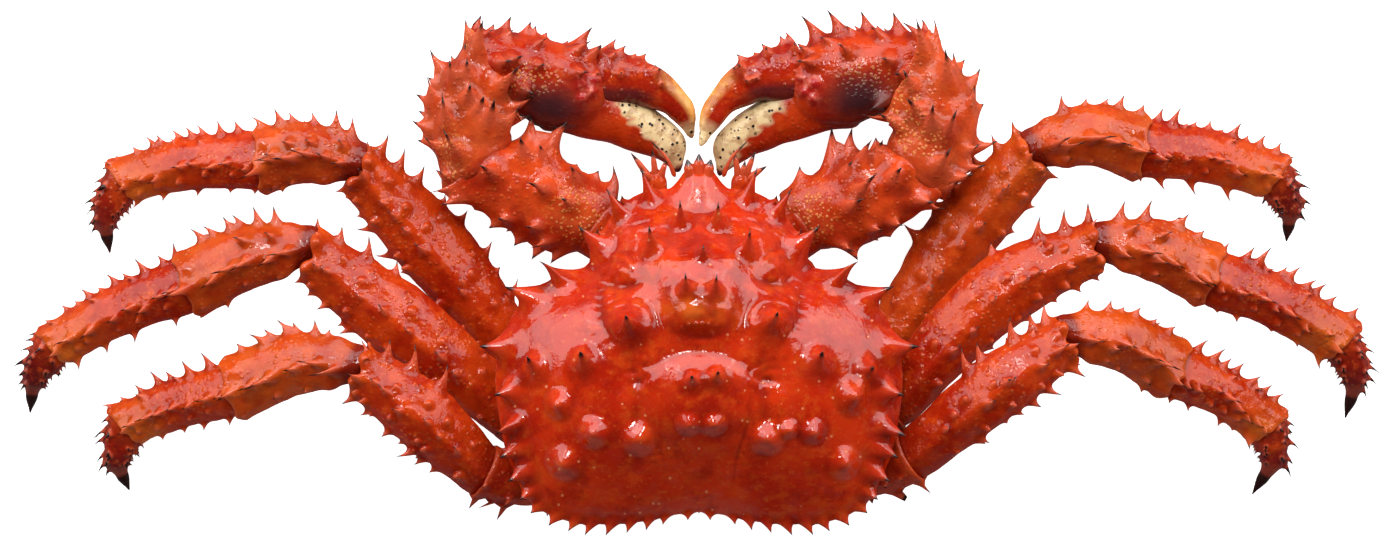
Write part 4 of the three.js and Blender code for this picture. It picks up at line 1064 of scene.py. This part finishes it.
def thorn_to(surface, tip, draw, tall, spread):
    """A thorn that ends at a place seen from above: it stands on the nearest edge of the
    limb, or on its upper side where the place lies over the limb, or at a place of its own
    where that is given behind the tip's."""
    skin, outward, forward = surface
    near = tip[-2:]
    away = np.hypot(skin[:, 0] - near[0], skin[:, 1] - near[1])
    at = np.argmin(away)
    if len(tip) == 4:
        height = math.dist(tip[:2], near)
        end = np.array([tip[0], tip[1], skin[at][2] + 0.3 * height])
    elif away[at] > 0.7:
        height = away[at] * 1.1
        foot_at = skin[at] - forward[at] * 0.3 * height + (0, 0, draw.uniform(-0.5, 1.5))
        at = np.argmin(((skin - foot_at) ** 2).sum(axis=1))
        end = np.array([tip[0], tip[1], skin[at][2] + 0.25 * height])
        end += 0.15 * (end - skin[at])
    else:
        height = tall * draw.uniform(0.85, 1.15)
        foot_at = np.asarray(tip) - forward[at][:2] * 0.6 * height
        at = np.argmin(((skin[:, :2] - foot_at) ** 2).sum(axis=1))
        end = skin[at] + outward[at] * height + forward[at] * 0.6 * height
    return skin[at], outward[at], end, spread * (0.75 + 0.35 * height / tall), False


def row_of_thorns(limb, draw, first, last, count, over_share, height, spread, lean=0.5,
                  blunt=False):
    """A row of thorns along a limb, uneven as grown ones are."""
    thorns = []
    for share in np.linspace(first, last, count):
        at = np.array([np.clip(share + draw.uniform(-0.35, 0.35) / max(count, 3), 0.03, 0.97)])
        where = np.array([over(limb, over_share) + draw.uniform(-0.2, 0.2)])
        foot, outward = limb_skin(limb, at * limb["length"], where)
        _, forward, right, _, _ = limb_section(limb, at * limb["length"])
        tall = height * draw.uniform(0.6, 1.3)
        bent = forward[0] * (lean + draw.uniform(-0.2, 0.25)) + right[0] * draw.uniform(-0.25, 0.25)
        wide = spread * draw.uniform(0.8, 1.15) * (0.7 + 0.3 * tall / height)
        thorns.append((foot[0], outward[0], foot[0] + (outward[0] + bent) * tall, wide, blunt))
    return thorns


def thorns_of(limb, draw, plan, tips):
    """All thorns of an article: those whose tips are given, then its rows."""
    surface = over_the_limb(limb)
    thorns = [thorn_to(surface, tip, draw, *plan["edge_thorns"]) for tip in tips]
    for row in plan["rows"]:
        thorns += row_of_thorns(limb, draw, *row)
    return thorns


def build_article(name, limb, plan, thorns, number=0):
    """One article as its plan says: its piece, skin and horn, and where on the limb that lies."""
    piece, skin, outward, along, angle, size = draw_out(
        name, limb, *plan["grid"], *plan["ends"], plan.get("lobes", ())
    )
    for knob_along, share, height, radius in plan.get("knobs", ()):
        knob_along += limb["length"] if knob_along < 0 else 0.0
        foot, up = limb_skin(limb, np.array([knob_along]), np.array([over(limb, share)]))
        away = ((skin - foot[0]) ** 2).sum(axis=1) / radius**2
        skin = skin + np.exp(-1.6 * away)[:, None] * up[0] * height
    seed = plan["seed"] + number
    rippled = 0.6 * unevenness(skin, 11, seed) + 0.12 * unevenness(skin, 3.6, seed + 1)
    skin = skin + outward * (plan["ripple"] * rippled * np.clip(size, 0, 1))[:, None]
    skin, horn = grow_thorns(skin, thorns)
    return piece, skin, horn, along, angle, size


dactyl_shell = make_shell_material(
    "claw_horn", (0.3, 0.012, 0.004), (0.14, 0.006, 0.004), (0.5, 0.05, 0.008)
)

for number, (leg, line) in enumerate(LEG_LINES.items()):
    draw = np.random.default_rng(100 + number)
    front = 0.0 if leg.endswith("_l") else math.pi
    merus_widths, carpus_widths, propodus_widths = LEG_WIDTHS[leg]
    limbs = [
        make_limb(line[0:3], [15, 18, 19], 0.85, edge=front),
        make_limb(line[2:5], merus_widths, 0.72, 1.12, LEG_CRESTS, front),
        make_limb(line[4:7], carpus_widths, 0.76, 1.18, LEG_CRESTS, front),
        make_limb(line[6:9], propodus_widths, 0.76, 1.12, LEG_CRESTS, front),
        make_limb(line[8:11], [14.5, 12.5, 9.0, 4.6, 1.0], 0.85, 0.95, edge=front),
    ]
    fit_joints(limbs)
    for limb, (kind, plan) in zip(limbs, LEG_PLANS.items()):
        thorns = thorns_of(limb, draw, plan, LEG_TIPS.get(leg + "_" + plan["node"], ()))
        piece, skin, horn, along, angle, size = build_article(
            leg + "_" + kind, limb, plan, thorns, number
        )
        share = along / limb["length"]
        top = np.clip(np.sin(angle), 0, 1)
        rear = np.clip(0.75 - 0.5 * np.cos(angle - front), 0, 1)
        shade_in_cup = 0.5 * (size < 0.85) * (share > 0.5)
        # dark paints shade into the joints: over the start of each article, where it leaves the one
        # before, and inside the cup at its far end, where the next one sits; the base is darker all
        # over, most towards the hip
        masks = {
            "coxa": dict(dark=0.25 + 0.4 * ramp(share, 1, 0)),
            "merus_tube": dict(
                # the front right leg's merus is painted paler all over, painted light that lifts
                # the shade it lies in between the right claw and the next leg
                pale=0.2 * ramp(share, 0.6, 1) + 0.24 * (leg == "leg1_r"),
                dark=0.5 * ramp(share, 0.15, 0) + shade_in_cup),
            "carpus_tube": dict(
                # the carpus is painted paler all over, painted light that lifts its shade; it grows
                # paler still towards its far end
                pale=0.3 + 0.1 * ramp(share, 0.4, 1), grain=0.3 * hump(share - 0.75, 0.25) * top,
                dark=ramp(along, 3.2, 0) + shade_in_cup),
            "propodus_tube": dict(
                pale=0.85 * ramp(share, 0.55, 0.9) * rear,
                grain=0.36 * hump(share - 0.28, 0.28) * top,
                dark=0.5 * ramp(along, 1.5, 0) + shade_in_cup),
            "dactyl_hook": dict(
                pale=0.5 * ramp(share, 0.3, 0), plum_and_shade=0.6 * ramp(share, 0.25, 0.65)),
        }[kind]
        slot, shell = "shell_red", limb_shell
        if kind == "dactyl_hook":
            slot, shell = "tip_dark", dactyl_shell
            horn = np.maximum(horn * 1.8, ramp(share, 0.5, 0.8))
        hand_over(piece, skin, leg + "_" + plan["node"], slot, shell, horn=horn, **masks)

# ---------------------------------------------------------------------------
# Claws: the first pair of legs, thicker and thornier than the others, folded in front of
# the head. The palm carries a fixed finger, cream where it bites, and a movable one turns
# on a fleshy red hinge beside it.
# ---------------------------------------------------------------------------

CLAW_LINES = {
    "claw_l": dict(
        base=[(-20, 30, 19), (-30, 38, 18), (-38, 46, 17.5)],
        merus=[(-38, 46, 17.5), (-59, 56, 21), (-80, 67, 24)],
        carpus=[(-80, 67, 24), (-82.5, 85.5, 24), (-74.5, 101, 23)],
        palm=[(-74.5, 100, 23), (-55.5, 96.3, 21), (-38, 91.5, 19)],
        fixed=[(-56, 93.5, 19), (-40, 88, 17), (-23.5, 81, 14.5), (-12, 74.5, 14), (-7, 64, 14)],
        movable=[(-40, 98.5, 18.5), (-18.8, 95.6, 18), (-7, 87.4, 17), (-2.4, 76.5, 14)],
        hinge=[(-42.5, 96, 1.8, 2.6), (-38.8, 93, 2, 2.4), (-42, 90.8, 1.8, 2.2),
               (-37.5, 97.5, 1.4, 2.4)],  # knobs of its flesh: place, height and radius
        carpus_widths=(28, 28, 27), palm_widths=(27, 31, 29), granules=(-44.0, 48.5),
        # plum: middle and radii of a dark patch of painted shade on the palm's lower inner edge
        plum_and_shade=((-54.0, 86.5), (15, 9.5)),
    ),
    "claw_r": dict(
        base=[(20, 30, 19), (30, 38, 18), (38, 47, 17.5)],
        merus=[(38, 47, 17.5), (59, 54.5, 21), (79, 65, 24)],
        carpus=[(79, 65, 24), (85.5, 84, 24), (75.5, 100, 23)],
        palm=[(75.5, 99.5, 23), (55.5, 98, 21), (37.5, 94.3, 19)],
        fixed=[(56, 95, 19), (40, 89, 17), (24.5, 81.5, 14.5), (13, 74.5, 14), (6.8, 62.5, 14)],
        movable=[(39, 100.5, 19), (17.6, 96.4, 19), (6.6, 87.2, 19), (0.4, 73.5, 22)],
        hinge=[(41.5, 96, 1.8, 2.6), (37.8, 93, 2, 2.4), (41, 90.8, 1.8, 2.2), (37, 98, 1.4, 2.4)],
        carpus_widths=(28, 30, 30.5), palm_widths=(28.5, 32.5, 30.5), granules=(39.0, 47.5),
        plum_and_shade=((58.0, 90.0), (14, 10.5)),
    ),
}
CLAW_TIPS = {
    "claw_l_merus": [
        (-61, 84), (-62.5, 75.8), (-44.1, 66.9), (-36.5, 64.4), (-34.4, 59), (-90.6, 59.5),
        (-80.9, 50.5), (-75.5, 44.1), (-66.5, 37.9), (-60, 33.3), (-53.2, 31.8),
        (-46.6, 83.1, -56, 71.4)],
    "claw_l_carpus": [
        (-96.4, 107.6), (-97.3, 98), (-101.4, 91.8), (-100.7, 86), (-102.8, 82.3), (-101, 75.4),
        (-84.5, 101.8), (-79.8, 94.6)],
    "claw_l_palm": [
        (-81.6, 117.3), (-78.7, 120.2), (-73.9, 117.3), (-67.9, 119.9), (-60.7, 118.1),
        (-58.9, 116.7), (-54.9, 114.5), (-38.7, 116), (-67.9, 102.9), (-59.6, 92.8)],
    "claw_l_finger": [(-32.9, 110.3), (-30.4, 108.5), (-26, 106.7), (-22.8, 107), (-19.5, 104.2)],
    "claw_r_merus": [
        (48.1, 79.2), (55.3, 79.1), (63.9, 76.2), (36.5, 65.8), (69, 40.8), (57.1, 32.9),
        (83.7, 57)],
    "claw_r_carpus": [
        (101, 101), (102.5, 88.4), (100.3, 77.6), (95.6, 70), (92.4, 66.8), (75.4, 94.9)],
    "claw_r_palm": [
        (61.4, 89.9), (70.4, 98.9), (37.2, 120), (46.6, 121.8), (58.5, 121.7), (64.3, 117),
        (70, 121.3), (80.5, 119.1), (48.8, 114.9)],
    "claw_r_finger": [(29.3, 113.2), (31.1, 115), (19.9, 107.4), (22.8, 107.4), (13.7, 106.6)],
}
CLOSE_CUP = [(-9, 1.0), (-4, 1.0), (-0.5, 1.0), (0.5, 0.97), (0.6, 0.9), (-0.6, 0.8),
             (-2.4, 0.6), (-2.6, 0)]
CLOSE_NECK = [(-4, 0), (-4, 0.6), (-2.5, 0.9), (-0.3, 0.97), (1.5, 1.0), (4, 1.0)]
PALM_END = [(-10, 1.0), (-5, 0.96), (-1, 0.86), (2, 0.7), (4, 0.4), (4.4, 0)]
CLAW_PLANS = {
    "coxa": dict(
        node="base", grid=(64, 40), ends=(ROUND_START, CUP), seed=200, ripple=0.25, rows=[]),
    "merus_tube": dict(
        node="merus", grid=(140, 112), ends=(CLOSE_NECK, CLOSE_CUP), seed=220, ripple=0.35,
        edge_thorns=(8.5, 7.0),
        rows=[(0.25, 0.9, 4, 0.22, 5.5, 5.5, 0.9), (0.3, 0.85, 3, 0.5, 9, 7.5, 0.9),
              (0.4, 0.9, 3, 0.75, 9, 7.5, 0.7), (0.3, 0.9, 4, -0.2, 4, 5.5),
              (0.3, 0.9, 4, 1.2, 5, 6)],
        knobs=[(-3, 0.2, 2.0, 5), (-3, 0.6, 2.2, 5.5)]),
    "carpus_tube": dict(
        node="carpus", grid=(140, 108), ends=(CLOSE_NECK, CLOSE_CUP), seed=240, ripple=0.35,
        edge_thorns=(8.5, 6.0),
        rows=[(0.1, 0.95, 5, 0.16, 6, 5.5, 0.9), (0.2, 0.95, 4, 0.36, 8, 7, 0.9),
              (0.3, 0.95, 3, 0.6, 9, 8, 0.9), (0.3, 0.95, 3, 0.85, 8, 7, 0.9),
              (0.1, 0.9, 6, -0.15, 5, 5)],
        knobs=[(-3, 0.8, 1.2, 4)]),
    "palm_shell": dict(
        node="palm", grid=(96, 80), ends=(CLOSE_NECK, PALM_END), seed=0, ripple=0.0,
        edge_thorns=(7.5, 5.2),
        rows=[(0.05, 0.85, 5, 0.14, 6, 4.6, 0.7), (0.1, 0.75, 3, 0.34, 7, 5.0, 0.7),
              (0.05, 0.9, 6, -0.15, 5, 5)]),
    "movable_finger": dict(
        node="finger", grid=(76, 108), ends=(ROUND_START, POINTED_END), seed=290, ripple=0.2,
        edge_thorns=(4.0, 4.0),
        rows=[(0.06, 0.42, 4, 0.25, 3.6, 3.6, 0.2), (0.08, 0.32, 3, 0.45, 3.2, 3.4, 0.2)]),
}

claw_shell = make_shell_material(
    "claw_shell", (0.62, 0.05, 0.005), (0.44, 0.017, 0.002), (0.74, 0.2, 0.06), 0.0, 0.5
)
finger_shell = make_shell_material(
    "finger_shell", (0.44, 0.022, 0.004), (0.26, 0.01, 0.003), (0.8, 0.4, 0.1)
)


def melted(pieces, grain, rounds):
    """Make pieces one even skin, with the angle where they meet filled and smoothed."""
    piece = joined(pieces)
    remesh = piece.modifiers.new("one_skin", "REMESH")
    remesh.mode = "VOXEL"
    remesh.voxel_size = grain * MM
    smoothing = piece.modifiers.new("smoothed", "SMOOTH")
    smoothing.factor = 0.5
    smoothing.iterations = rounds
    for modifier in (remesh.name, smoothing.name):
        bpy.ops.object.modifier_apply(modifier=modifier)
    return piece


def along_the_limb(limb, skin):
    """For places near a limb: share of its length, angle round it and share of its width."""
    shares = np.linspace(0, 1, 90)
    middle, _, right, up, half = limb_section(limb, shares * limb["length"])
    at = np.argmin(((skin[:, None, :] - middle[None, :, :]) ** 2).sum(axis=2), axis=1)
    off = skin - middle[at]
    across = (off * right[at]).sum(axis=1) / half[at]
    above = (off * up[at]).sum(axis=1) / (half[at] * limb["flatness"])
    return shares[at], np.arctan2(above, across), np.hypot(across, above)


def melt_in_finger(palm, fixed, hinge, number):
    """Melt the fixed finger into the palm and raise the flesh at the other finger's hinge.

    Returns the piece, its skin, and which way is out of it.
    """
    finger_plan = dict(grid=(64, 90), ends=(ROUND_START, POINTED_END), seed=0, ripple=0.0)
    finger, finger_skin, *_ = build_article("fixed_finger", fixed, finger_plan, [])
    take_shape(finger, finger_skin)
    piece = melted([palm, finger], 0.55, 14)
    skin, outward = read_vertices(piece) / MM, read_vertices(piece, "normal")
    for knob_x, knob_y, height, radius in hinge:
        near = np.exp(-1.6 * from_above(skin, (knob_x, knob_y), radius))
        skin += outward * (near * height * (outward[:, 2] > 0.1))[:, None]
    skin += outward * (0.2 * unevenness(skin, 11, 260 + number))[:, None]
    return piece, skin, outward


for number, (claw, lines) in enumerate(CLAW_LINES.items()):
    draw = np.random.default_rng(300 + number)
    way, outer = (-1, math.pi) if claw.endswith("_l") else (1, 0.0)
    limbs = [
        make_limb(lines["base"], [18, 20, 22], 0.85, edge=outer),
        make_limb(lines["merus"], [26, 31, 25.5], 0.78, 0.95, edge=outer),
        make_limb(lines["carpus"], lines["carpus_widths"], 0.78, 0.95, edge=outer),
        make_limb(lines["palm"], lines["palm_widths"], 0.78, 0.92, edge=outer),
        make_limb(lines["movable"], [23.5, 15.5, 10, 3.5], 0.76, 0.92, edge=outer),
    ]
    fixed = make_limb(lines["fixed"], [29, 23, 18, 14.5, 4.5], 0.76, 1.0, edge=outer)
    for limb in limbs[1:4]:
        limb["reach"] = 22.0
    fit_joints(limbs[:4])
    for limb, (kind, plan) in zip(limbs, CLAW_PLANS.items()):
        thorns = thorns_of(limb, draw, plan, CLAW_TIPS.get(claw + "_" + plan["node"], ()))
        in_palm = kind == "palm_shell"
        piece, skin, horn, along, angle, size = build_article(
            claw + "_" + kind, limb, plan, [] if in_palm else thorns, number
        )
        share = along / limb["length"]
        top = np.clip(np.sin(angle) * 2, 0, 1)
        outer_side = way * np.cos(angle)
        slot, shell = "shell_red", claw_shell
        # dark paints shade into the joints, over the start of each article and at both its closing
        # ends, where the next one sits; the base is darker all over
        if kind == "coxa":
            masks = dict(dark=0.4)
        elif kind == "merus_tube":
            patch = np.exp(-from_above(skin, lines["granules"], math.sqrt(90)))
            masks = dict(grain=1.4 * patch * top, pale=0.08 + 0.15 * patch,
                         dark=0.4 * ramp(share, 0.1, 0) + 0.5 * (size < 0.85))
        elif kind == "carpus_tube":
            speckled = np.clip(unevenness(skin, 26, 9 + number), 0, 1)
            masks = dict(grain=speckled * top, pale=0.22 + 0.1 * speckled,
                         dark=0.5 * ramp(share, 0.1, 0) + 0.5 * (size < 0.85))
        elif kind == "movable_finger":
            slot, shell = "finger_red", finger_shell
            masks = dict(
                pale=ramp(share, 0.35, 0.55) * ramp(outer_side, 0.1, 0.6),
                plum_and_shade=0.75 * ramp(outer_side, -0.15, -0.45) * ramp(share, 0.55, 0.3),
                cream=ramp(share, 0.78, 0.9))
        else:  # the palm and its fixed finger are one shell
            take_shape(piece, skin)
            piece, skin, outward = melt_in_finger(piece, fixed, lines["hinge"], number)
            skin, horn = grow_thorns(skin, thorns)
            share, angle, off = along_the_limb(fixed, skin)
            finger = ramp(share, 0.3, 0.34) * (off < 1.25)
            inward = way * np.cos(angle) + 0.12 * unevenness(skin, 5, 17)
            edge_of_bite = 0.1 - 0.9 * ramp(share, 0.4, 0.85)
            biting = ramp(share, 0.34, 0.39) * np.clip((inward - edge_of_bite) / 0.25, 0, 1)
            biting *= finger * ramp(share, 0.96, 0.92)
            # a dark plum patch of painted shade on the palm's lower inner edge; the dark end of the
            # finger is its own colour
            plum_and_shade = 0.95 * np.exp(-from_above(skin, *lines["plum_and_shade"]) ** 1.4)
            flesh = np.max([np.exp(-from_above(skin, (knob_x, knob_y), radius))
                            for knob_x, knob_y, _, radius in lines["hinge"]], axis=0)
            masks = dict(
                cream=biting, plum_and_shade=np.maximum(plum_and_shade, ramp(share, 0.93, 0.97) * finger),
                grain=1.2 * np.exp(-from_above(skin, (way * 60.0, 97.0), (10, 7))),
                flesh=1.3 * flesh * (outward[:, 2] > 0),
                dark=np.maximum(0.6 * finger * (1 - biting) * ramp(share, 0.3, 0.6), 0.28))
        hand_over(piece, skin, claw + "_" + plan["node"], slot, shell, horn=horn, **masks)

for leftover in list(bpy.data.meshes):
    if leftover.users == 0:
        bpy.data.meshes.remove(leftover)
